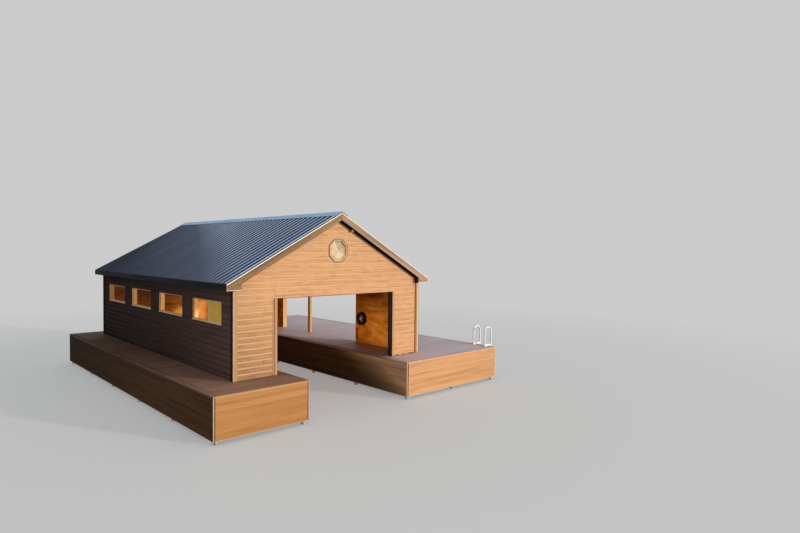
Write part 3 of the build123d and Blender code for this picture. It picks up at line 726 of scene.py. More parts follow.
def beside_holes(left, right, height, holes):
    """Runs from left to right that are left at a height; holes are (left, right, low, high)."""
    runs = [(left, right)]
    for hole_left, hole_right, low, high in holes:
        if low < height < high:
            runs = [part for run in runs
                    for part in ((run[0], min(run[1], hole_left)), (max(run[0], hole_right), run[1]))
                    if part[1] - part[0] > 0.01]
    return runs


def levels(low, high, holes):
    """Heights from low to high, with a stop at every sill and head of a hole."""
    return sorted({low, high} | {edge for hole in holes for edge in hole[2:] if low < edge < high})


print("a point 1 cm behind the front:", [round(v, 3) for v in facing("front", WALL_FRONT)(0.01, DECK, 0.0)])

# %% [markdown]
# ## Courses of siding
#
# The walls are clad in level courses, 142 mm apart. Each board is flat, with a hollow along its top edge
# that tucks under the board above. Seen from above the hollow catches the light, and from below the edge
# over it throws a thin shadow, so the hollow has to be cut in the mesh: a bump would show neither. The faces
# of the hollow are the lips, and their colour is painted paler as well, a painted highlight. The courses run
# from a chalk line at the deck, are cut round the openings and under the roof, and are pieced from lengths
# whose joints fall in a different place in each course.

# %% Siding
COURSE = 0.142
SIDING_FACE = 0.018
HOLLOW_HEIGHT = 0.022
HOLLOW_DEPTH = 0.009
BOARD_LENGTH = 3.66
BUTT_GAP = 0.004
SIDING_FOOT = 0.035
FACE_STEPS = 6
HOLLOW_STEPS = 4


def course_outline(low, high, bottom, top):
    """Outline of one board as (depth behind the face, height), cut to the heights low and high."""
    hollow = top - HOLLOW_HEIGHT
    rows = [(0.0, bottom + (hollow - bottom) * step / FACE_STEPS) for step in range(FACE_STEPS + 1)]
    for step in range(1, HOLLOW_STEPS + 1):
        angle = math.radians(90 * step / HOLLOW_STEPS)
        rows.append((HOLLOW_DEPTH * (1 - math.cos(angle)), hollow + HOLLOW_HEIGHT * 0.94 * math.sin(angle)))

    def depth_at(z):
        for (depth_a, z_a), (depth_b, z_b) in zip(rows, rows[1:]):
            if z_a <= z <= z_b:
                return depth_a + (depth_b - depth_a) * (z - z_a) / max(z_b - z_a, 1e-9)
        return rows[-1][0]

    low = max(low, bottom)
    high = min(high, rows[-1][1])
    kept = [(depth, z) for depth, z in rows if low + 1e-4 < z < high - 1e-4]
    return [(depth_at(low), low), *kept, (depth_at(high), high), (SIDING_FACE, high), (SIDING_FACE, low)]


def lay_run(bench, place, start, end, high, outline, lips, joints, marks, limits):
    """Lays a run of a course from boards that meet at the joints; limits gives its ends at a height."""
    stops = [start] + [j for j in joints if start + 0.12 < j < end - 0.12] + [end]
    for left, right in zip(stops, stops[1:]):
        mark = marks[sum(j <= left + 0.01 for j in joints)]
        begin = left + (BUTT_GAP / 2 if left != start else 0)
        finish = right - (BUTT_GAP / 2 if right != end else 0)
        if limits is None:
            bench.prism(outline, place, begin, finish, mark, lips)
        elif limits(high)[0] < finish and limits(high)[1] > begin:
            bench.prism(outline, place, lambda d, z, b=begin: max(b, limits(z)[0]),
                        lambda d, z, f=finish: min(f, limits(z)[1]), mark, lips)


def siding(bench, place, left, right, z_low, z_high, holes=(), limits=None):
    """Clads a wall with courses."""
    course = math.floor((z_low - DECK) / COURSE + 1e-6)
    while DECK + course * COURSE < z_high - 0.002:
        bottom = DECK + course * COURSE
        top = bottom + COURSE
        joint = bench.draw.uniform(0.15, 0.85) * BOARD_LENGTH
        steps = range(-1, int((right - left) / BOARD_LENGTH) + 2)
        joints = [left + joint + BOARD_LENGTH * step for step in steps]
        marks = [bench.draw.random() for _ in range(len(joints) + 1)]
        cuts = levels(max(bottom, z_low), min(top, z_high), holes)
        for low, high in zip(cuts, cuts[1:]):
            outline = course_outline(low, high, bottom, top)
            # The hollow's faces are the lips, which get a painted highlight.
            lips = {index for index, ((_, z), (depth_after, _)) in enumerate(zip(outline, outline[1:-1]))
                    if z >= top - HOLLOW_HEIGHT - 1e-5 and depth_after < SIDING_FACE}
            for start, end in beside_holes(left, right, (low + high) / 2, holes):
                lay_run(bench, place, start, end, high, outline, lips, joints, marks, limits)
        course += 1


print("courses up to the apex:", math.ceil((APEX - DECK) / COURSE))

# %% [markdown]
# ## The front wall
#
# The front is one clad face: two piers beside the opening and the gable over it. The octagonal window takes
# a bite out of the courses that it crosses, so those are laid as a left and a right run whose ends follow
# the eight sides. Beside the right corner board the siding stops 30 mm short and leaves a dark groove.

# %% Front wall
OCTAGON_LOW, OCTAGON_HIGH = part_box("octagon_frame")
OCTAGON_Z = (OCTAGON_LOW.z + OCTAGON_HIGH.z) / 2
OCTAGON_HALF = (OCTAGON_HIGH.z - OCTAGON_LOW.z) / 2
OCTAGON_LAP = 0.006
MITRE = math.tan(math.pi / 8)


def octagon_reach(z):
    """Half the width of the octagonal hole at height z, less what its frame laps."""
    return OCTAGON_HALF - max(0.0, abs(z - OCTAGON_Z) - OCTAGON_HALF * MITRE) - OCTAGON_LAP


def gable_limits(z):
    """Ends of a course under the sloping roof."""
    reach = reach_at(z) - 0.004
    return max(WALL_LEFT, RIDGE_X - reach), min(WALL_RIGHT, RIDGE_X + reach)


def left_of_octagon(z):
    """Ends of a course on the left of the octagonal window."""
    return gable_limits(z)[0], RIDGE_X - octagon_reach(z)


def right_of_octagon(z):
    """Ends of a course on its right."""
    return RIDGE_X + octagon_reach(z), gable_limits(z)[1]


CORNER_WIDTH = 0.117
CORNER_RECESS = 0.03
corner_low, corner_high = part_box("corner_boards")
BOARD_PROUD = WALL_LEFT - corner_low.x
corner_from = WALL_RIGHT - (CORNER_WIDTH - BOARD_PROUD)
corner_groove = (corner_from - CORNER_RECESS, corner_from, 0.0, corner_high.z)
front_holes = [(OPENING_LEFT, OPENING_RIGHT, 0.0, OPENING_TOP), corner_groove]
CHALK_LINE = DECK + SIDING_FOOT
GABLE_TIP = APEX - 0.02

front = Bench(seed=11)
front_face = facing("front", WALL_FRONT)
octagon_low = OCTAGON_Z - OCTAGON_HALF + 0.004
octagon_high = OCTAGON_Z + OCTAGON_HALF - 0.004
siding(front, front_face, WALL_LEFT, WALL_RIGHT, CHALK_LINE, octagon_low, front_holes, gable_limits)
siding(front, front_face, WALL_LEFT, RIDGE_X, octagon_low, octagon_high, [], left_of_octagon)
siding(front, front_face, RIDGE_X, WALL_RIGHT, octagon_low, octagon_high, [], right_of_octagon)
siding(front, front_face, WALL_LEFT, WALL_RIGHT, octagon_high, GABLE_TIP, [], gable_limits)
print("the octagonal window is", round(2 * OCTAGON_HALF, 3), "metres across")

# %% [markdown]
# ## The core of the front wall
#
# Behind the boards stands the framed wall, which gives the wall its real thickness. It shows only at cut
# edges, so an outline run inwards is enough. Over the opening it is laid as two halves that meet above and
# below the octagonal window, because an outline with a hole in it can't be run as one face.

# %% Core of the front wall
CORE_ENDS = (WALL_LEFT + SIDING_FACE, WALL_RIGHT - SIDING_FACE)
ROUND_OCTAGON = ((0, 1), (MITRE, 1), (1, MITRE), (1, -MITRE), (MITRE, -1), (0, -1))


def core_panel(bench, outline, place, thickness):
    """The wall behind the boards, as an outline on its face run inwards."""
    bench.prism(outline, inwards(place), SIDING_FACE, thickness, 0.5)


thick = CORE_FRONT - WALL_FRONT
core_panel(front, oblong(CORE_ENDS[0], OPENING_LEFT, DECK, OPENING_TOP), front_face, thick)
core_panel(front, oblong(OPENING_RIGHT, CORE_ENDS[1], DECK, OPENING_TOP), front_face, thick)
for side, wall_edge in zip((-1, 1), CORE_ENDS):
    half_gable = [(RIDGE_X, OPENING_TOP), (wall_edge, OPENING_TOP), (wall_edge, under_roof(wall_edge)),
                  (RIDGE_X, APEX)]
    half_gable += [(RIDGE_X + side * out * OCTAGON_HALF, OCTAGON_Z + up * OCTAGON_HALF)
                   for out, up in ROUND_OCTAGON]
    core_panel(front, half_gable, front_face, thick)
front.piece("front_siding", "siding_tan", "siding_tan", "front_wall_left", "front_wall_right", "front_gable")

# %% [markdown]
# ## The back wall and the dark side walls
#
# The back repeats the front's tan courses without an opening. The sides are clad in the same board with a
# very dark stain. The left wall has four windows, which are holes in its courses, and the right wall has a
# wide opening with returns beside it and a header over it.

# %% Back and side walls
back = Bench(seed=12)
back_face = facing("back", WALL_BACK)
siding(back, back_face, WALL_LEFT, WALL_RIGHT, CHALK_LINE, GABLE_TIP, [corner_groove], gable_limits)
core_left, core_right = CORE_ENDS
gable = [(core_left, DECK), (core_right, DECK), (core_right, under_roof(core_right)), (RIDGE_X, APEX),
         (core_left, under_roof(core_left))]
core_panel(back, gable, back_face, WALL_BACK - CORE_BACK)
back.piece("back_siding", "siding_tan", "siding_tan", "back_wall")

WINDOWS = 4
WINDOW_GAP = 0.592
LAP = 0.013
(_, casing_front, SILL), (_, casing_back, HEAD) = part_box("window_casings")
WINDOW_WIDTH = (casing_back - casing_front - (WINDOWS - 1) * WINDOW_GAP) / WINDOWS
window_starts = [casing_front + index * (WINDOW_WIDTH + WINDOW_GAP) for index in range(WINDOWS)]
window_holes = [(start, start + WINDOW_WIDTH, SILL, HEAD) for start in window_starts]
siding_holes = [(low + LAP, high - LAP, SILL, HEAD - LAP) for low, high, _, _ in window_holes]
piers = [CORE_FRONT] + [edge for hole in window_holes for edge in hole[:2]] + [CORE_BACK]
left_panels = [(CORE_FRONT, CORE_BACK, DECK, SILL), (CORE_FRONT, CORE_BACK, HEAD, WALL_TOP)]
left_panels += [(low, high, SILL, HEAD) for low, high in zip(piers[0::2], piers[1::2])]

EDGE_BOARD = 0.02
side_front, side_back = SIDE_FRONT - EDGE_BOARD, SIDE_BACK + EDGE_BOARD
right_panels = [(CORE_FRONT, side_front, DECK, OPENING_TOP), (CORE_FRONT, CORE_BACK, OPENING_TOP, WALL_TOP),
                (side_back, CORE_BACK, DECK, OPENING_TOP)]


def side_wall(side, seed, face, core, holes, panels, *nodes):
    """A dark wall: its courses and the core behind them."""
    bench = Bench(seed)
    place = facing(side, face)
    siding(bench, place, WALL_FRONT + SIDING_FACE, WALL_BACK - SIDING_FACE, CHALK_LINE, WALL_TOP, holes)
    for panel in panels:
        core_panel(bench, oblong(*panel), place, abs(core - face))
    bench.piece(side + "_siding", "siding_dark", "siding_dark", *nodes)


side_wall("left", 13, WALL_LEFT, CORE_LEFT, siding_holes, left_panels,
          "left_wall_lower", "left_wall_piers", "left_wall_upper")
side_wall("right", 14, WALL_RIGHT, CORE_RIGHT, [(side_front, side_back, 0.0, OPENING_TOP)], right_panels,
          "right_wall_front", "right_wall_rear", "right_wall_header")
print("windows of", round(WINDOW_WIDTH, 3), "by", round(HEAD - SILL, 3), "metres")

# %% [markdown]
# ## Corner boards
#
# At each corner a tan board faces the front or the back, with a paler square edge strip at the very corner,
# and a dark board turns along the side wall. The strips at the left corners are a duller copy of those at the
# right, and a thin dark skin covers the outer side of each strip: both are painted shade. The four corners
# mirror each other, so the boards are given as distances from the corner, and a sign for each direction turns
# them round.

# %% Corner boards
STRIP_WIDTH = 0.06
SKIN = 0.003

faces_out, strips, strips_left, sides_out = [Bench(seed) for seed in (21, 22, 20, 23)]
for (x, x_way), (y, y_way) in itertools.product(((WALL_LEFT, 1), (WALL_RIGHT, -1)),
                                                ((WALL_FRONT, 1), (WALL_BACK, -1))):
    # The last row is a thin dark skin on the outer side of the strip: painted shade.
    for bench, x_from, x_to, y_from, y_to in (
            (strips if x_way < 0 else strips_left, SKIN, STRIP_WIDTH, 0.0, BOARD_PROUD),
            (faces_out, STRIP_WIDTH + 0.001, CORNER_WIDTH, 0.0, BOARD_PROUD),
            (sides_out, 0.0, BOARD_PROUD, BOARD_PROUD + 0.001, CORNER_WIDTH),
            (sides_out, 0.0, SKIN - 0.0005, 0.0, BOARD_PROUD)):
        corner, opposite = [(x - x_way * (BOARD_PROUD - out), y - y_way * (BOARD_PROUD - along))
                            for out, along in ((x_from, y_from), (x_to, y_to))]
        bench.block((*corner, DECK + 0.003), (*opposite, corner_high.z - 0.001))
faces_out.piece("corner_boards_tan", "corner_board_tan", "trim_tan", "corner_boards")
strips.piece("corner_edge_strips", "corner_edge_strip", "trim_tan")
strips_left.piece("corner_edge_strips_left", "corner_edge_strip_left", "trim_tan")
sides_out.piece("corner_boards_dark", "trim_dark", "siding_dark")

# %% [markdown]
# ## Boards beside the openings
#
# Beside the front opening stand narrow boards, with a dark strip in the groove behind the first of them,
# painted shade, and three short dark strips sit at the foot of the right pier. Pine boards close the ends of
# the side opening, and its post is made of two boards. They are plain blocks between lines that are known by
# now.

# %% Boards beside the openings
jamb_low, jamb_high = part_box("opening_trim")
JAMB_GAP = 0.008
SHADED_GROOVE = 0.018
EDGE_LATH = 0.02
lath_end, last_lath = jamb_low.x + EDGE_LATH, jamb_high.x - EDGE_LATH
wide_from = lath_end + SHADED_GROOVE
half = (OPENING_LEFT - wide_from - JAMB_GAP) / 2
jambs = Bench(seed=24)
for low, high in ((jamb_low.x, lath_end), (wide_from, wide_from + half), (OPENING_LEFT - half, OPENING_LEFT),
                  (OPENING_RIGHT, last_lath - JAMB_GAP), (last_lath, jamb_high.x)):
    jambs.block((low, jamb_low.y, DECK + 0.002), (high, WALL_FRONT, OPENING_TOP), ease=FINE_EASE)
jambs.piece("opening_jamb_boards", "trim_tan", "trim_tan", "opening_trim")
# A dark strip in the groove between the first two boards: painted shade.
groove_shade = Bench(seed=26)
groove_shade.block((lath_end, WALL_FRONT - 0.004, DECK + 0.003), (wide_from, WALL_FRONT, OPENING_TOP - 0.001))
groove_shade.piece("opening_jamb_groove_shade", "trim_dark", "trim_tan")
# Three short dark strips at the foot of the right pier.
foot_dashes = Bench(seed=27)
for start, end in ((0.16, 0.26), (0.43, 0.51), (0.66, 0.86)):
    foot_dashes.block((OPENING_RIGHT + start, WALL_FRONT + 0.004, DECK + 0.002),
                (OPENING_RIGHT + end, WALL_FRONT + SIDING_FACE - 0.001, DECK + 0.02))
foot_dashes.piece("pier_foot_dark_dashes", "siding_dark", "siding_dark")

POST_IN = 0.05
POST_EASE = 0.006
side_boards = Bench(seed=25)
for y, y_out in ((SIDE_FRONT, side_front), (SIDE_BACK, side_back)):
    side_boards.block((CORE_RIGHT, y, DECK + 0.001), (WALL_RIGHT, y_out, OPENING_TOP - 0.001))
post_low, post_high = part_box("side_opening_post")
post_face = post_high.x - POST_IN
half_post = (post_low.x + post_face) / 2
for x_low, x_high in ((post_low.x, half_post - 0.001), (half_post + 0.001, post_face)):
    side_boards.block((x_low, *post_low.yz), (x_high, *post_high.yz), ease=POST_EASE)
side_boards.piece("side_opening_boards", "pine_upright", "pine", "side_opening_post")

# %% [markdown]
# ## Dark door channels
#
# Both reveals of the front opening are lined with black channel, in which a shutter could run: two flat
# legs with a slot between them and a grey brush strip deep in the slot. Seen from the camera it reads as
# a black band with a grey line in the middle, so the slot is a real one.

# %% Channels
liner_low, liner_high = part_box("opening_liners")
LINER = 0.012
SLOT = 0.022
BRUSH = 0.004
CHANNEL_EASE = 0.0015
channels, brushes = Bench(seed=31), Bench(seed=32)
slot_middle = (liner_low.y + liner_high.y) / 2
slot_front, slot_back = slot_middle - SLOT / 2, slot_middle + SLOT / 2
for x, way in ((OPENING_LEFT, 1), (OPENING_RIGHT, -1)):
    for y_low, y_high in ((liner_low.y, slot_front), (slot_back, liner_high.y)):
        channels.block((x, y_low, DECK + 0.002), (x + way * LINER, y_high, OPENING_TOP), ease=CHANNEL_EASE)
    brushes.block((x, slot_front, DECK + 0.002), (x + way * BRUSH, slot_back, OPENING_TOP))
channels.block((OPENING_LEFT + LINER + 0.002, liner_low.y, OPENING_TOP - LINER),
               (OPENING_RIGHT - LINER - 0.002, liner_high.y, OPENING_TOP), ease=CHANNEL_EASE)
channels.piece("opening_channels", "liner_black", "liner_black", "opening_liners")
brushes.piece("channel_brushes", "track_grey", "liner_black")

# %% [markdown]
# ## Skirts
#
# The skirts close the space under the deck's edge: three broad boards, one above the other, with a small
# chamfer at each seam. They come in lengths, so upright joints fall at different places in each row, and
# strips edge every run at its top and foot. All the runs are built alike, so one function lays them.

# %% Skirt boards
(_, skirt_front, SKIRT_FOOT), (_, skirt_back, SKIRT_TOP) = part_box("skirt_front_left")
SKIRT = skirt_back - skirt_front
SKIRT_BOARD = SKIRT * 0.7
SKIRT_ROWS = 3
SKIRT_LENGTH = 4.27
EDGE_STRIP = 0.014
SEAM = 0.006


def skirt_run(bench, edges, place, start, end, gaps, strips=0.0, seam=0.0):
    """Three rows of skirt boards over a backing, with strips above and below and, if asked, at the ends."""
    foot, head = SKIRT_FOOT + EDGE_STRIP, SKIRT_TOP - EDGE_STRIP
    row = (head - foot) / SKIRT_ROWS
    left, right = start + gaps[0], end - gaps[1]
    first, last = left + strips, right - strips
    for index in range(SKIRT_ROWS):
        joint = start + bench.draw.uniform(0.3, 0.95) * SKIRT_LENGTH
        stops = [first]
        while joint < end - 0.5 and end - start > SKIRT_LENGTH:
            stops.append(joint)
            joint += SKIRT_LENGTH
        stops.append(last)
        bottom = foot + index * row + (seam if index == SKIRT_ROWS - 1 else 0.0)
        top = foot + (index + 1) * row
        outline = [(0.0, bottom), (0.0, top - SEAM), (SEAM * 0.8, top - 0.001), (SKIRT_BOARD, top - 0.001),
                   (SKIRT_BOARD, bottom)]
        for low, high in zip(stops, stops[1:]):
            bench.prism(outline, place, low + 0.001, high - 0.001)
    bench.prism(oblong(SKIRT_BOARD, SKIRT, SKIRT_FOOT, SKIRT_TOP), place, start, end, 0.5)
    level = [(SKIRT_FOOT, foot - 0.001), (head + 0.001, SKIRT_TOP)]
    if seam:
        level.append((foot + 2 * row, foot + 2 * row + seam - 0.001))
    for low, high in level:
        edges.prism(oblong(0.0, SKIRT_BOARD, low, high), place, left, right)
    if strips:
        for low, high in ((left, first - 0.001), (last + 0.001, right)):
            edges.prism(oblong(0.0, SKIRT_BOARD, foot, head), place, low, high)


print("skirt boards", round((SKIRT_TOP - SKIRT_FOOT - 2 * EDGE_STRIP) / SKIRT_ROWS, 3), "metres high")

# %% [markdown]
# ## Skirts round the dock
#
# One run goes along every edge of the dock and of the slip. The strips are one trim in three copies, which is
# painted highlight and shade: pale on the front right run and the right-hand corner posts, a duller pale on
# the front left run and the left-hand posts, and dark on the sides, at the back and in the slip. The right
# front run also has them at its ends and over a seam, a painted highlight line. A table with a row for each
# run keeps in sight how they differ.

# %% Skirts round the dock
SIDE_GAP = 0.012
FRONT_GAP = 0.02
WIDE_GAP = 0.04
END_STRIP = 0.016
# A pale strip over the top seam of the front right run: a painted highlight line.
BRIGHT_SEAM = 0.016
PLAIN = (SIDE_GAP, SIDE_GAP)
pale_strips, left_strips, dark_strips = [Bench(seed) for seed in (40, 37, 39)]
for seed, side, face, run, start, end, edges, *extras in (
        (41, "front", DOCK_FRONT, "front_left", DOCK_LEFT, SLIP_LEFT, left_strips, (FRONT_GAP, FRONT_GAP)),
        (42, "front", DOCK_FRONT, "front_right", SLIP_RIGHT, DOCK_RIGHT, pale_strips, (WIDE_GAP, SIDE_GAP),
         END_STRIP, BRIGHT_SEAM),
        (43, "left", DOCK_LEFT, "left", DOCK_FRONT, DOCK_BACK, dark_strips, PLAIN),
        (44, "right", DOCK_RIGHT, "right", DOCK_FRONT, DOCK_BACK, dark_strips, PLAIN),
        (45, "back", DOCK_BACK, "back", DOCK_LEFT, DOCK_RIGHT, dark_strips, PLAIN)):
    boards = Bench(seed)
    skirt_run(boards, edges, facing(side, face), start + SKIRT, end - SKIRT, *extras)
    finish = "skirt_boards_" + ("side" if run in ("left", "right") else run)
    boards.piece("skirt_" + run + "_boards", finish, "skirt_boards", "skirt_" + run)
slip_boards = Bench(seed=47)
skirt_run(slip_boards, dark_strips, facing("right", SLIP_LEFT), DOCK_FRONT + SKIRT, SLIP_REAR, PLAIN)
skirt_run(slip_boards, dark_strips, facing("left", SLIP_RIGHT), DOCK_FRONT + SKIRT, SLIP_REAR, PLAIN)
skirt_run(slip_boards, dark_strips, facing("front", SLIP_REAR), SLIP_LEFT + 0.002, SLIP_RIGHT - 0.002, PLAIN)
slip_boards.piece("slip_skirt_boards", "skirt_boards_slip", "skirt_boards", "slip_skirts")

# %% [markdown]
# ## Skirt corners
#
# Square posts close the corners of the skirts. Beside each post of the front shows a dark gap. An open gap
# would let the backing shine through, so a dark strip stands in it, a little behind the face: painted shade.

# %% Skirt corners
gap_shade = Bench(seed=38)
front_corners = ((DOCK_LEFT, 1, FRONT_GAP), (SLIP_LEFT, -1, FRONT_GAP), (SLIP_RIGHT, 1, WIDE_GAP),
                 (DOCK_RIGHT, -1, SIDE_GAP))
for x, way, y, y_way in [(x, way, DOCK_FRONT, 1) for x, way, _ in front_corners] + [
        (DOCK_LEFT, 1, DOCK_BACK, -1), (DOCK_RIGHT, -1, DOCK_BACK, -1)]:
    post = left_strips if x < RIDGE_X else pale_strips
    post.block((x, y, SKIRT_FOOT), (x + way * SKIRT, y + y_way * SKIRT, SKIRT_TOP), ease=FINE_EASE)
# Dark strips in the gaps beside the front posts: painted shade.
for x, way, gap in front_corners:
    gap_shade.block((x + way * (SKIRT + 0.001), DOCK_FRONT + SKIRT * 0.45, SKIRT_FOOT + 0.001),
                    (x + way * (SKIRT + gap - 0.001), DOCK_FRONT + SKIRT_BOARD - 0.001, SKIRT_TOP - 0.001))
gap_shade.piece("skirt_gap_shade", "soffit_dark", "skirt_trim")
pale_strips.piece("skirt_edge_strips", "skirt_edge_strip", "skirt_trim", "skirt_corner_trims")
left_strips.piece("skirt_edge_strips_left", "skirt_edge_strip_left", "skirt_trim")
dark_strips.piece("skirt_edge_strips_dark", "skirt_edge_strip_dark", "skirt_trim")

# %% [markdown]
# ## Deck boards
#
# The boards run from side to side with 5 mm gaps, inside a border board along every edge, mitred where two
# borders meet. A gap this narrow is under a pixel from afar, yet it gives the deck its fine texture, and
# close to it shows the dark space below. The rear deck is laid the same way and closes the U.

# %% Deck boards
DECK_PITCH = 0.1455
DECK_GAP = 0.005
BORDER = 0.14
DECK_EASE = 0.004
DECK_LENGTH = 3.66
EDGE = BORDER + DECK_GAP


def deck_strips(bench, x_low, x_high, y_low, y_high):
    """Boards across a deck between two borders, pieced where it is wider than a board is long."""
    count = round((y_high - y_low + DECK_GAP) / DECK_PITCH)
    pitch = (y_high - y_low + DECK_GAP) / count
    for index in range(count):
        y = y_low + index * pitch
        stops = [x_low]
        if x_high - x_low > DECK_LENGTH * 1.1:
            joint = x_low + DECK_LENGTH * (0.35 + 0.3 * (index % 3))
            while joint < x_high - 0.6:
                stops.append(joint)
                joint += DECK_LENGTH
        stops.append(x_high)
        for low, high in zip(stops, stops[1:]):
            bench.block((low + 0.0015, y, DECK_UNDER), (high - 0.0015, y + pitch - DECK_GAP, DECK),
                        ease=DECK_EASE)


def flat_board(bench, corners, lips=()):
    """A level board of any outline, as thick as the deck."""
    bench.prism(corners, lambda x, y, z: (x, y, z), DECK_UNDER, DECK, None, lips)


def cross_border(bench, left, right, y, way, taper=1, lips=()):
    """A border board from left to right, as deep as the border, mitred at both ends."""
    inner_y, turned_in = y + way * BORDER, taper * BORDER
    corners = [(left, y), (right, y), (right - turned_in, inner_y), (left + turned_in, inner_y)]
    flat_board(bench, corners, lips)


left_arm = Bench(seed=51)
deck_strips(left_arm, DOCK_LEFT + EDGE, SLIP_LEFT - EDGE, DOCK_FRONT + EDGE, SLIP_REAR)
cross_border(left_arm, DOCK_LEFT, SLIP_LEFT, DOCK_FRONT, 1, lips={0})
left_arm.piece("deck_left_boards", "deck_boards_left", "deck_boards", "deck_left")
right_arm = Bench(seed=53)
deck_strips(right_arm, SLIP_RIGHT + EDGE, DOCK_RIGHT - EDGE, DOCK_FRONT + EDGE, SLIP_REAR)
cross_border(right_arm, SLIP_RIGHT, DOCK_RIGHT, DOCK_FRONT, 1, lips={0})
right_arm.piece("deck_right_boards", "deck_boards_right", "deck_boards", "deck_right")
rear = Bench(seed=54)
deck_strips(rear, DOCK_LEFT + EDGE, DOCK_RIGHT - EDGE, SLIP_REAR + EDGE, DOCK_BACK - EDGE)
for x_low, x_high in ((DOCK_LEFT + EDGE, SLIP_LEFT - EDGE), (SLIP_RIGHT + EDGE, DOCK_RIGHT - EDGE)):
    rear.block((x_low, SLIP_REAR + DECK_GAP, DECK_UNDER), (x_high, SLIP_REAR + BORDER, DECK), ease=DECK_EASE)
cross_border(rear, DOCK_LEFT, DOCK_RIGHT, DOCK_BACK, -1)
cross_border(rear, SLIP_LEFT, SLIP_RIGHT, SLIP_REAR, 1, taper=-1)
rear.piece("deck_rear_boards", "deck_boards_rear", "deck_boards", "deck_rear")

# %% [markdown]
# ## Border boards along the arms
#
# The border boards along the sides and the slip come in three lengths. Their ends are mitred where they meet
# a border that runs across, and the left arm's are a browner, darker copy of the others, which is painted
# shade. A mitre is only a shifted corner of the outline, so the same flat board serves for all of them.

# %% Long border boards
BUTTS = (DOCK_FRONT + 3.3, DOCK_FRONT + 6.9)
MITRE_GAP = 0.002
long_way, long_way_left = Bench(seed=52), Bench(seed=55)
for x, way, y_back, back_turn in ((DOCK_LEFT, 1, DOCK_BACK, -1), (DOCK_RIGHT, -1, DOCK_BACK, -1),
                                  (SLIP_LEFT, -1, SLIP_REAR, 1), (SLIP_RIGHT, 1, SLIP_REAR, 1)):
    bench = long_way_left if x < RIDGE_X else long_way
    stops = [DOCK_FRONT, *BUTTS, y_back]
    for low, high in zip(stops, stops[1:]):
        low_turn, low_gap = (BORDER, MITRE_GAP) if low == DOCK_FRONT else (0, 0.001)
        high_turn, high_gap = (BORDER * back_turn, MITRE_GAP) if high == y_back else (0, 0.001)
        flat_board(bench, [(x, low + low_gap), (x + way * BORDER, low + low_turn + low_gap),
                           (x + way * BORDER, high + high_turn - high_gap), (x, high - high_gap)])
long_way.piece("deck_border_boards", "deck_boards_border", "deck_boards")
long_way_left.piece("deck_border_boards_left", "deck_boards_border_left", "deck_boards")

# %% [markdown]
# ## Plywood linings
#
# The room is lined with sheets laid on their long edge, with fine open joints. The joints and the tone of
# each sheet are what make plywood read as plywood, so the linings are cut into sheets. Under the roof the
# sheets are cut to the slope, and the same cut is used for any outline that the roof limits.

# %% Linings
SHEET_LONG = 2.44
SHEET_HIGH = 1.22
SHEET_GAP = 0.003
ROOM_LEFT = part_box("left_lining")[1].x
ROOM_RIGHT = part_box("right_lining")[0].x
ROOM_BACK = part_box("back_lining")[0].y
LINING = ROOM_LEFT - CORE_LEFT


def cut(outline, inside):
    """Keeps the part of an outline where inside(u, z) is not negative; its edge is a straight line."""
    kept = []
    for first, second in zip(outline, outline[1:] + outline[:1]):
        a, b = inside(*first), inside(*second)
        if a >= 0:
            kept.append(first)
        if (a >= 0) != (b >= 0):
            share = a / (a - b)
            kept.append(tuple(start + (end - start) * share for start, end in zip(first, second)))
    return kept


def under_both_slopes(outline):
    """The part of an outline that lies under the roof."""
    for side in (-1, 1):
        outline = cut(outline, lambda u, z: reach_at(z) - side * (u - RIDGE_X)) if outline else outline
    return outline


def sheets(bench, place, start, end, z_high, holes=(), roofed=False):
    """Sheets of plywood on a wall, cut round holes and under the roof, with open joints between them."""
    row = 0
    while DECK + row * SHEET_HIGH < z_high - 0.01:
        bottom = DECK + row * SHEET_HIGH
        top = min(bottom + SHEET_HIGH, z_high)
        heights = levels(bottom, top, holes)
        column = start - (0.5 * SHEET_LONG if row % 2 else 0.0)
        while column < end - 0.01:
            mark = bench.draw.random()
            for low, high in zip(heights, heights[1:]):
                low_cut = low + (SHEET_GAP / 2 if low == bottom else 0)
                high_cut = high - (SHEET_GAP / 2 if high == top else 0)
                for left, right in beside_holes(max(start, column), min(end, column + SHEET_LONG),
                                                (low + high) / 2, holes):
                    outline = oblong(left + SHEET_GAP / 2, right - SHEET_GAP / 2, low_cut, high_cut)
                    outline = under_both_slopes(outline) if roofed else outline
                    if len(outline) > 2:
                        bench.prism(outline, inwards(place), 0.0, LINING, mark)
            column += SHEET_LONG
        row += 1


side_door = [(SIDE_FRONT, SIDE_BACK, 0.0, OPENING_TOP)]
for seed, name, place, start, end, z_high, *cuts in (
        (61, "left", facing("right", ROOM_LEFT), CORE_FRONT, CORE_BACK, WALL_TOP, window_holes),
        (62, "right", facing("left", ROOM_RIGHT), CORE_FRONT, CORE_BACK, WALL_TOP, side_door),
        (63, "back", facing("front", ROOM_BACK), ROOM_LEFT, ROOM_RIGHT, APEX, (), True)):
    lining = Bench(seed)
    sheets(lining, place, start, end, z_high, *cuts)
    finish = "plywood_" + ("side" if name == "left" else name)
    lining.piece(name + "_lining_sheets", finish, "plywood", name + "_lining")

# %% [markdown]
# ## Sliding windows
#
# Each of the four windows has a pine casing the depth of the wall, lapped by the siding: a sill, a
# bottom and a head board, and two jambs. In it stands one long sash with a clear pane. The sill is a paler
# copy of the pine, a painted highlight. The front half of the first window has a straw-coloured screen in an
# outer track, which is why it looks solid; its bars take the same painted highlight.

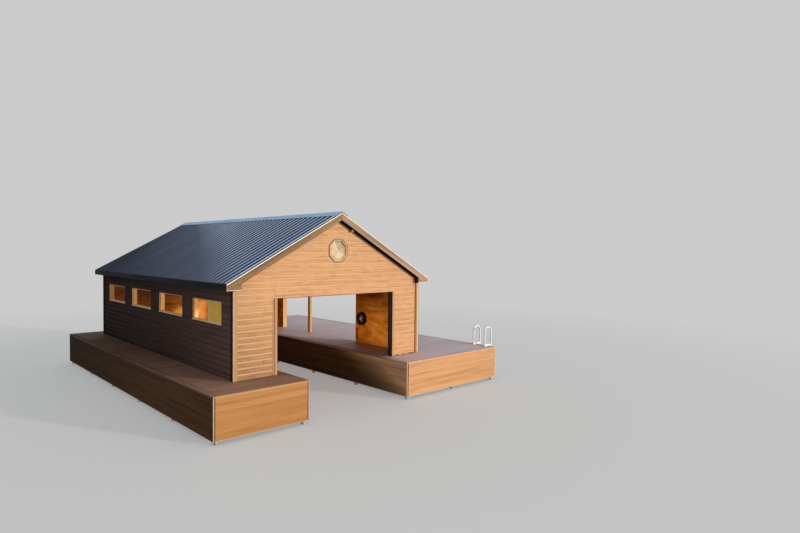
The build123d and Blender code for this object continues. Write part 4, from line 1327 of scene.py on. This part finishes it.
# %% Windows
CASING = 0.02
CASING_FACE = WALL_LEFT + SIDING_FACE
SASH = 0.024
SASH_DEPTH = 0.02
SCREEN_BAR = SASH * 0.8
SCREEN_SHARE = 0.45
GLASS_X = WALL_LEFT + 0.06
SCREEN_X = CASING_FACE + 0.012
SILL_PROUD = 0.006
SILL_LIP = 0.016
sills, heads, uprights, sashes, panes, screens, screen_bars = [
    Bench(seed) for seed in (71, 77, 72, 73, 74, 75, 76)]


def sash(bars, fill, x, y_low, y_high, bar, thick):
    """Four bars round a pane or a screen that stands at x."""
    low, high = SILL + CASING, HEAD - CASING
    near, far = x - SASH_DEPTH / 2, x + SASH_DEPTH / 2
    for bottom in (low, high - bar):
        bars.block((near, y_low, bottom), (far, y_high, bottom + bar), ease=FINE_EASE)
    for y in (y_low, y_high - bar):
        bars.block((near, y, low + bar), (far, y + bar, high - bar), ease=FINE_EASE)
    fill.block((x - thick, y_low + bar, low + bar), (x + thick, y_high - bar, high - bar), ease=0.0005)


for index, start in enumerate(window_starts):
    end = start + WINDOW_WIDTH
    sills.block((WALL_LEFT - SILL_PROUD, start + LAP, SILL), (CASING_FACE, end - LAP, SILL + SILL_LIP))
    heads.block((CASING_FACE + 0.001, start, SILL), (ROOM_LEFT, end, SILL + CASING))
    heads.block((CASING_FACE, start, HEAD - CASING), (ROOM_LEFT, end, HEAD))
    for y in (start, end - CASING):
        uprights.block((CASING_FACE, y, SILL + CASING), (ROOM_LEFT, y + CASING, HEAD - CASING))
    inner_low, inner_high = start + CASING, end - CASING
    sash(sashes, panes, GLASS_X, inner_low, inner_high, SASH, 0.003)
    if index == 0:
        screen_end = inner_low + (inner_high - inner_low) * SCREEN_SHARE
        sash(screen_bars, screens, SCREEN_X, inner_low, screen_end, SCREEN_BAR, 0.002)
# The sills and the screen's bars take sill_pale, a paler copy of the pine: painted highlight.
sills.piece("window_sills", "sill_pale", "pine", "window_casings")
heads.piece("window_heads", "pine_level", "pine")
uprights.piece("window_jambs", "pine_upright", "pine")
sashes.piece("window_sashes", "pine_level", "pine")
screens.piece("window_screen", "screen_straw", "pine")
screen_bars.piece("window_screen_bars", "sill_pale", "pine")
panes.piece("window_panes", "window_pane", "window_pane", "window_glass")

# %% [markdown]
# ## The octagonal window
#
# Eight equal sides, mitred at the corners. One moulding runs round: a flat outer band, a small step and an
# inner bead that holds the obscured pane. Each side is the same profile, given as distance from the middle
# and depth, and its two ends are cut at the mitre, so the profile is drawn once and turned eight times.


# %% Octagonal window
def around_octagon(name, finish, seed, profile, *nodes):
    """Runs a profile of (inset, depth) round the eight sides; a depth of None is the inner face."""
    bench = Bench(seed)
    outline = [(OCTAGON_HALF - inset, OCTAGON_HIGH.y if depth is None else OCTAGON_LOW.y + depth)
               for inset, depth in profile]
    for side in range(8):
        out_x, out_z = math.cos(side * math.pi / 4), math.sin(side * math.pi / 4)

        def place(r, y, s):
            return (RIDGE_X + out_x * r - out_z * s, y, OCTAGON_Z + out_z * r + out_x * s)

        bench.prism(outline, place, lambda r, y: -r * MITRE, lambda r, y: r * MITRE, 0.4)
    bench.piece(name, finish, "octagon_white", *nodes)


# A thin dark ring runs round the outside of the moulding.
around_octagon("octagon_dark_ring", "octagon_dark_ring", 80,
               [(0.0, None), (0.0, 0.002), (0.003, 0.0), (0.015, 0.0), (0.015, None)])
around_octagon("octagon_moulding", "octagon_white", 81,
               [(0.016, None), (0.016, 0.004), (0.019, 0.0), (0.028, 0.0), (0.032, 0.005), (0.041, 0.006),
                (0.047, 0.013), (0.05, 0.022), (0.05, None)], "octagon_frame")

PANE_BACK = WALL_FRONT + 0.036
BEVEL = ((0.0, 0.0), (OCTAGON_HALF - 0.05, 0.0), (OCTAGON_HALF - 0.05, 0.006), (OCTAGON_HALF - 0.11, 0.022),
         (0.0, 0.022))
FACET_FACES = ((0, 2, 3), (2, 4, 5, 3), (4, 6, 7, 5), (6, 8, 7), (0, 2, 4, 6, 8), (0, 8, 7, 5, 3))
# The facets' tones are painted light and shade: brightest at the upper left, darkest at the upper right.
FACET_PAINTED_LIGHT = (0.45, 0.1, 0.3, 1.0, 0.8, 0.7, 0.85, 0.75)
facets = Bench(seed=82)
for side, tone in enumerate(FACET_PAINTED_LIGHT):
    points = []
    for (radius, rise), half_side in itertools.product(BEVEL, (-0.5, 0.5)):
        angle = (side + half_side) * math.pi / 4
        reach = radius / math.cos(math.pi / 8)
        points.append((RIDGE_X + reach * math.cos(angle), PANE_BACK - rise,
                       OCTAGON_Z + reach * math.sin(angle)))
    facets.add(points, FACET_FACES, tone)
facets.piece("octagon_pane", "octagon_pane", "window_pane")

# %% [markdown]
# ## Rakes
#
# A broad board follows each slope in front of the gable and ends in a boxed return at the eave. Its grain
# follows the slope, so the left and right boards have recipes of their own; the left one is also a darker
# copy, which is painted shade. A cream metal strip caps the board, and the edge of the roof sheet shows over
# it as a thin dark line. Under the soffit, where it meets the wall, a dark strip follows the slope too: a
# painted shadow.

# %% Rake boards
RAKE_DEPTH = 0.222
METAL_DEPTH = 0.025
STRIP_HIGH = 0.022
FOOT_STRIP = 0.010
FACE_BACK = 0.002
RETURN_LENGTH = 0.368
BOARD_THICK = 0.025
SOFFIT_DROP = 0.188
SHADOW_STRIP_HIGH = 0.06
HALF_SPAN = EAVE_RIGHT - RIDGE_X


def plumb_below(x, drop):
    """Height at x of a line that lies straight below the roof's surface."""
    return RIDGE_TOP - abs(x - RIDGE_X) * RISE - drop


def square_below(x, depth):
    """Height at x of a line that lies at a depth square below the roof's surface."""
    return plumb_below(x, depth / math.cos(PITCH))


def slope_band(outer, inner, below, top, foot):
    """A band up one slope, between two lines below the roof's surface."""
    return [(outer, below(outer, foot)), (outer, below(outer, top)), (inner, below(inner, top)),
            (inner, below(inner, foot))]


def both_gables(bench, outline, front_from, front_to, front_plane=ROOF_FRONT, back_plane=ROOF_BACK):
    """Runs an (x, z) outline between two depths behind a front plane, and the same at the back."""
    through = inwards(facing("front", 0.0))
    bench.prism(outline, through, front_plane + front_from, front_plane + front_to)
    bench.prism(outline, through, back_plane - front_to, back_plane - front_from)


edge_trim, soffit_shadow_strip = Bench(seed=90), Bench(seed=96)
for side, name, nodes in ((-1, "rake_board_left", ["rake_boards"]), (1, "rake_board_right", [])):
    eave = RIDGE_X + side * HALF_SPAN
    inner = eave - side * RETURN_LENGTH
    mitre = RIDGE_X + side * 0.001
    foot = plumb_below(inner, RAKE_DEPTH)
    meet = RIDGE_X + side * (RIDGE_TOP - RAKE_DEPTH - FASCIA_FOOT) / RISE
    board = Bench(seed=91)
    both_gables(board, [(eave, FASCIA_FOOT), (eave, square_below(eave, METAL_DEPTH)),
                        (mitre, square_below(mitre, METAL_DEPTH)), (mitre, plumb_below(mitre, RAKE_DEPTH)),
                        (inner, foot), (meet, FASCIA_FOOT)], FACE_BACK, BOARD_THICK)
    both_gables(board, [(inner, FASCIA_FOOT), (inner, foot - 0.001), (meet - side * 0.001, FASCIA_FOOT)],
                FACE_BACK + 0.001, BOARD_THICK)
    board.piece(name, name, "rake_brown", *nodes)
    both_gables(edge_trim, slope_band(eave, mitre, square_below, METAL_DEPTH, METAL_DEPTH + STRIP_HIGH),
                -0.001, FACE_BACK)
    both_gables(edge_trim, oblong(eave, inner, FASCIA_FOOT, FASCIA_FOOT + FOOT_STRIP), 0.0, FACE_BACK)
    # A dark strip on the wall under the soffit: painted shadow.
    both_gables(soffit_shadow_strip, slope_band(inner - side * 0.004, mitre, plumb_below, SOFFIT_DROP,
                                           SOFFIT_DROP + SHADOW_STRIP_HIGH), -0.010, 0.0, WALL_FRONT, WALL_BACK)
edge_trim.piece("rake_edge_trim", "rake_edge_metal", "rake_brown")
soffit_shadow_strip.piece("soffit_shadow_strip", "soffit_dark", "soffit_dark")

# %% [markdown]
# ## The roof sheets
#
# The ribbed sheets of the packed model are right as they are, so they stay and get their finish. What they
# lack are the fixings: hexagonal screws with washers in rows up the slope, one beside every rib, and a
# closer row under the edge of the ridge cap. Each is a few millimetres high, but the rows give the roof its
# scale from close by.

# %% Roof screws
RIB_PITCH = 0.2286
SCREW_ROWS = 6
CAP_ROW = 0.215
FIRST_ROW, LAST_ROW = 0.33, 0.09
BESIDE_RIB = 0.042
PAN_DEPTH = 0.019
HEX = [(0.0, 0.0052), (0.0042, 0.0052), (0.0048, 0.0044), (0.0048, 0.0014), (0.0078, 0.001), (0.0078, 0.0),
       (0.0, 0.0)]
roof_length = ROOF_BACK - ROOF_FRONT
rib_total = int((roof_length - 0.12) // RIB_PITCH) + 1
rib_first = ROOF_FRONT + (roof_length - (rib_total - 1) * RIB_PITCH) / 2
slope_length = HALF_SPAN / math.cos(PITCH)
rows = [(FIRST_ROW + (slope_length - FIRST_ROW - LAST_ROW) * row / (SCREW_ROWS - 1), -PAN_DEPTH, BESIDE_RIB)
        for row in range(SCREW_ROWS)] + [(CAP_ROW, 0.003, 0.0)]
screws = Bench(seed=95)
for side in (-1, 1):
    normal = Vector((side * math.sin(PITCH), 0.0, math.cos(PITCH)))
    down_slope = Vector((side * math.cos(PITCH), 0.0, -math.sin(PITCH)))
    for down, lift, beside in rows:
        base = Vector((RIDGE_X, 0.0, RIDGE_TOP)) + down_slope * down + normal * lift
        for rib in range(rib_total):
            y = rib_first + rib * RIB_PITCH + beside
            if y <= ROOF_BACK - 0.02:
                screws.turned(HEX, (base.x, y, base.z), normal, steps=6, mark=0.5)
screws.piece("roof_screws", "screw_heads", "roof_metal")

# %% [markdown]
# ## Round tubes
#
# The ladder and the spokes of the reel are round tubes. Blender's curves can be given a thickness, but a ring
# of points carried along a path stays in mesh code, keeps its number for the recipes and is round in a bend.


# %% Tubes
def skin(rings, around, closed=False):
    """Faces over rings of points that follow each other."""
    faces = []
    for ring in range(rings if closed else rings - 1):
        after = (ring + 1) % rings
        for s in range(around):
            t = (s + 1) % around
            faces.append([ring * around + s, ring * around + t, after * around + t, after * around + s])
    return faces


def tube(bench, path, radius, steps=20):
    """A round tube along a list of points, closed at both ends."""
    path = [Vector(point) for point in path]
    points = []
    side = None
    for index, point in enumerate(path):
        ahead = (path[min(index + 1, len(path) - 1)] - path[max(index - 1, 0)]).normalized()
        side = ahead.orthogonal() if side is None else side - ahead * side.dot(ahead)
        side.normalize()
        up = ahead.cross(side)
        for step in range(steps):
            angle = math.tau * step / steps
            points.append(point + (side * math.cos(angle) + up * math.sin(angle)) * radius)
    ends = [list(range(steps)), list(range(len(points) - steps, len(points)))]
    bench.add(points, skin(len(path), steps) + ends, 0.5)


print("a short tube has", len(skin(2, 20)) + 2, "faces")

# %% [markdown]
# ## The ladder
#
# Two bent aluminium tubes grip the edge of the deck, with flat bars across their feet and studs through the
# bars. Four round rungs hang below, evenly spaced between the lowest and the highest of the model.

# %% Ladder
rail_low, rail_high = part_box("ladder_rails")
TUBE = 0.025
RUNG = 0.018
BAR_HIGH = 0.055
BEND_STEPS = 24
RUNGS = 4
STUD = [(0.0, 0.006), (0.006, 0.006), (0.008, 0.003), (0.008, 0.0), (0.0, 0.0)]
inner_leg, outer_leg = rail_low.x + TUBE, rail_high.x - TUBE
leg_front, leg_back = rail_low.y + TUBE, rail_high.y - TUBE
bend = (outer_leg - inner_leg) / 2
bend_z = rail_high.z - TUBE - bend
ladder = Bench(seed=101)
for y in (leg_front, leg_back):
    path = [(inner_leg, y, DECK)]
    for step in range(BEND_STEPS + 1):
        angle = math.pi * (1 - step / BEND_STEPS)
        path.append((inner_leg + bend + bend * math.cos(angle), y, bend_z + bend * math.sin(angle)))
    path.append((outer_leg, y, rail_low.z))
    tube(ladder, path, TUBE)
    ladder.block((inner_leg, y - TUBE, DECK), (outer_leg, y + TUBE, DECK + BAR_HIGH))
    for x in (inner_leg + 0.05, inner_leg + 0.13):
        ladder.turned(STUD, (x, y, DECK + BAR_HIGH), (0, 0, 1), steps=12, mark=0.2)
ladder.piece("ladder_tubes", "ladder_metal", "ladder_metal", "ladder_rails", smooth=True)
rung_low, rung_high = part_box("ladder_rungs")
rungs = Bench(seed=102)
for index in range(RUNGS):
    z = rung_low.z + RUNG + index * (rung_high.z - rung_low.z - 2 * RUNG) / (RUNGS - 1)
    tube(rungs, [(outer_leg, y, z) for y in (leg_front, (leg_front + leg_back) / 2, leg_back)], RUNG)
rungs.piece("ladder_round_rungs", "ladder_metal", "ladder_metal", "ladder_rungs", smooth=True)

# %% [markdown]
# ## The gable lamp
#
# Under the right rake hangs a small lamp: a round plate, a short arm and a shade open to the front over a
# bulb. It is a turned form, so half of its section is drawn once and carried round.

# %% Lamp
lamp_low, lamp_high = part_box("gable_lamp")
lamp_middle = ((lamp_low.x + lamp_high.x) / 2, WALL_FRONT, (lamp_low.z + lamp_high.z) / 2)
SHADE = [(0.0, 0.0), (0.045, 0.0), (0.045, 0.006), (0.038, 0.012), (0.015, 0.013), (0.015, 0.052),
         (0.026, 0.053), (0.033, 0.062), (0.035, 0.098), (0.032, 0.098), (0.030, 0.066), (0.0, 0.060)]
BULB = [(0.0, 0.060), (0.012, 0.060), (0.014, 0.068), (0.022, 0.078), (0.022, 0.086), (0.014, 0.093),
        (0.0, 0.095)]
lamp, bulb = Bench(seed=111), Bench(seed=112)
lamp.turned(SHADE, lamp_middle, (0, -1, 0), steps=32)
lamp.piece("gable_lamp_body", "lamp_beige", "lamp_beige", "gable_lamp", smooth=True)
bulb.turned(BULB, lamp_middle, (0, -1, 0))
bulb.piece("gable_lamp_bulb", "octagon_pane", "lamp_beige", smooth=True)

# %% [markdown]
# ## The reel
#
# Just inside the side opening a reel stands out from the plywood: dark tubing wound in four layers between
# two guard rings, with four spokes, a pale plate behind and a cap on its hub. Each winding is a closed ring,
# because the slope of a true spiral is too small to see.

# %% Reel
reel_low, reel_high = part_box("wall_reel")
REEL = (reel_high.y - reel_low.y) / 2
OFF_WALL = (-1, 0, 0)
HOOP_SIDES = 10
HOOP_STEPS = 48
WINDINGS = 4
SPOKE_REACH = REEL - 0.012
middle = (reel_high.x, (reel_low.y + reel_high.y) / 2, (reel_low.z + reel_high.z) / 2)
plate, reel, hub = [Bench(seed) for seed in (115, 113, 114)]
plate.turned([(0.0, 0.0), (0.12, 0.0), (0.12, 0.008), (0.0, 0.008)], middle, OFF_WALL, steps=40)
plate.turned([(0.0, 0.008), (0.055, 0.008), (0.055, 0.085), (0.048, 0.092), (0.0, 0.092)], middle, OFF_WALL)
plate.piece("wall_reel_plate", "reel_plate", "reel_black", smooth=True)


def on_reel(off, reach, angle):
    """A point at a distance off the wall, out from the reel's axis at an angle."""
    return (middle[0] - off, middle[1] + reach * math.cos(angle), middle[2] + reach * math.sin(angle))


def hoop(radius, off, thick, mark):
    """A closed ring of round section about the reel's axis."""
    points = []
    for step, corner in itertools.product(range(HOOP_STEPS), range(HOOP_SIDES)):
        around = math.tau * corner / HOOP_SIDES
        points.append(on_reel(off + thick * math.sin(around), radius + thick * math.cos(around),
                              math.tau * step / HOOP_STEPS))
    reel.add(points, skin(HOOP_STEPS, HOOP_SIDES, True), mark)


hoop(REEL - 0.008, 0.010, 0.008, 0.1)
hoop(REEL - 0.008, 0.090, 0.008, 0.1)
for layer, winding in itertools.product(range(WINDINGS), repeat=2):
    hoop(0.135 + layer * 0.0165, 0.022 + winding * 0.0185, 0.0088, 0.3 + 0.1 * layer)
for spoke in range(4):
    angle = math.radians(20 + 90 * spoke)
    tube(reel, [on_reel(0.088, 0.0, angle), on_reel(0.090, SPOKE_REACH / 2, angle),
                on_reel(0.090, SPOKE_REACH, angle)], 0.006, steps=10)
    tube(reel, [on_reel(off, SPOKE_REACH, angle) for off in (0.010, 0.050, 0.090)], 0.006, steps=10)
reel.piece("wall_reel_body", "reel_black", "reel_black", "wall_reel", smooth=True)
hub.turned([(0.0, 0.0925), (0.036, 0.0925), (0.032, 0.097), (0.0, 0.099)], middle, OFF_WALL)
hub.piece("wall_reel_cap", "ladder_metal", "reel_black", smooth=True)

# %% [markdown]
# ## Finishes for the solids that stay
#
# Beams, joists, rafters, ties, sheathing, roof sheets, fascias, soffits and piles keep their solids from the
# packed model, because their shapes are right. Each gets the finish of what it is made of.

# %% Finishes for the kept solids
KEPT = {
    "frame_timber_long": ("beams", "ridge_board"), "frame_timber_cross": ("joists", "rafters", "tie_beams"),
    "sheathing_face": ("roof_sheathing",), "pile_steel": ("piles",), "ridge_cap_metal": ("ridge_cap",),
    "roof_metal": ("metal_roof_left", "metal_roof_right"), "fascia_black": ("eave_fascias",),
    "soffit_dark": ("soffits",), "plywood_end": ("front_lining",),
}
for finish, nodes in KEPT.items():
    for node in nodes:
        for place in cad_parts[node].material_slots:
            place.material = FINISHES[finish]
print("solids with a finish:", sum(len(nodes) for nodes in KEPT.values()))

# %% [markdown]
# ## Floor
#
# The building stands on a plain pale grey floor that fades into a backdrop of the same grey, so that nothing
# but its shadow shows round it. What the camera, a mirror or a pane sees of it is brighter than what it
# throws on the building, so the shade stays dark.

# %% Floor
FLOOR_REACH = 120.0
FADE_FROM, FADE_TO = 11.0, 26.0
NEAR_GLOW = 0.45
BACKDROP = 0.6
RING_STEPS = 64
WHITE = (1.0, 1.0, 1.0, 1.0)

floor_points = [(0.0, 0.0, 0.0)]
floor_faces = []
for radius, step in itertools.product((FADE_TO, FLOOR_REACH), range(RING_STEPS)):
    angle = math.tau * step / RING_STEPS
    floor_points.append((radius * math.cos(angle), radius * math.sin(angle), 0.0))
for step in range(RING_STEPS):
    here, after = 1 + step, 1 + (step + 1) % RING_STEPS
    floor_faces += [(0, here, after), (here, RING_STEPS + here, RING_STEPS + after, after)]
floor_mesh = bpy.data.meshes.new("floor")
floor_mesh.from_pydata(floor_points, [], floor_faces)
floor = stand("floor", floor_mesh)
floor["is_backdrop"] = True

pale = Recipe("floor_pale", roughness=0.9)
pale.done(pale.blend(pale.eyes(), paint(186, 186, 184), paint(236, 236, 234)))
distance = pale.add("VectorMath", {0: pale.point()}, out="Value", operation="LENGTH")
share = pale.maths("MULTIPLY", pale.spread(distance, FADE_FROM, FADE_TO, NEAR_GLOW, 1.0), pale.eyes())
pale.surface(share, pale.shader.outputs[0], pale.add("Emission", {"Color": WHITE, "Strength": BACKDROP}))
floor_mesh.materials.append(pale.material)
print("floor fades from", FADE_FROM, "to", FADE_TO, "metres")

# %% [markdown]
# ## Sun and sky
#
# The low sun comes from the front and a little from the right, as the lit edge on the left deck shows, and
# the sky fills the shade of the left wall. Like the floor, the sky is brighter to the eye than the light it
# gives.

# %% Sun and sky
SUN_SIDE, SUN_FRONT, SUN_HEIGHT = 0.46, -0.89, math.radians(9)
SUN_POWER, SUN_SOFT, SUN_TINT = 2.4, 0.06, (1.0, 0.95, 0.88)
SKY_POWER, SKY_TINT = 0.47, (0.93, 0.97, 1.0, 1.0)

sun = stand("sun", bpy.data.lights.new("sun", "SUN"))
sun.data.energy = SUN_POWER
sun.data.angle = SUN_SOFT
sun.data.color = SUN_TINT
level = math.cos(SUN_HEIGHT) / math.hypot(SUN_SIDE, SUN_FRONT)
toward = Vector((SUN_SIDE * level, SUN_FRONT * level, math.sin(SUN_HEIGHT)))
sun.rotation_euler = toward.to_track_quat("Z", "Y").to_euler()

bpy.context.scene.world = bpy.data.worlds.new("sky")
bpy.context.scene.world.use_nodes = True
sky = Nodes(bpy.context.scene.world.node_tree)
sky.surface(sky.eyes(), sky.add("Background", {"Color": SKY_TINT, "Strength": SKY_POWER}),
            sky.add("Background", {"Color": WHITE, "Strength": BACKDROP}))
bpy.context.scene.view_settings.view_transform = "Standard"
print("sun toward", [round(v, 3) for v in toward])

# %% [markdown]
# ## Lamps in the room
#
# Sunlight that enters by the openings is thrown back from below and by the walls many times. A fast render
# follows only a few of these paths, so three soft lamps, hidden from the eye, stand for the rest.

# %% Lamps in the room
ROOM_TINT = (1.0, 0.82, 0.56)


def room_lamp(name, size, place, toward, power, spread=180):
    """A soft lamp inside the room, in place of sunlight thrown back from below and by the walls."""
    made = stand(name, bpy.data.lights.new(name, "AREA"))
    made.data.shape = "RECTANGLE"
    made.data.size, made.data.size_y = size
    made.data.energy = power
    made.data.spread = math.radians(spread)
    made.data.color = ROOM_TINT
    made.location = place
    made.rotation_euler = Vector(toward).to_track_quat("-Z", "Y").to_euler()
    made.visible_camera = False
    made.visible_glossy = False
    print(name, "of", power, "watts")


room_lamp("hall_light", size=(3.0, 7.0), place=(RIDGE_X, (WALL_FRONT + WALL_BACK) / 2, WALL_TOP - 0.1),
          toward=(0, 0, -1), power=3)
room_lamp("door_light", size=(1.6, 0.8), place=(RIDGE_X + 1.1, CORE_FRONT + 0.35, 2.3),
          toward=(-1, 0.8, 0.1), power=66, spread=100)
room_lamp("side_light", size=(1.8, 0.3), place=(RIDGE_X - 1.2, CORE_FRONT + 1.3, 1.6),
          toward=(1, 0, 0), power=2.5, spread=34)

# %% [markdown]
# ## Sizes
#
# The dressed building must be as big as the packed model, so both boxes are written down side by side.

# %% Sizes
dressed_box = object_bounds()
for label, box in (("packed", cad_box), ("dressed", dressed_box)):
    print(label, [[round(v, 4) for v in corner] for corner in box])
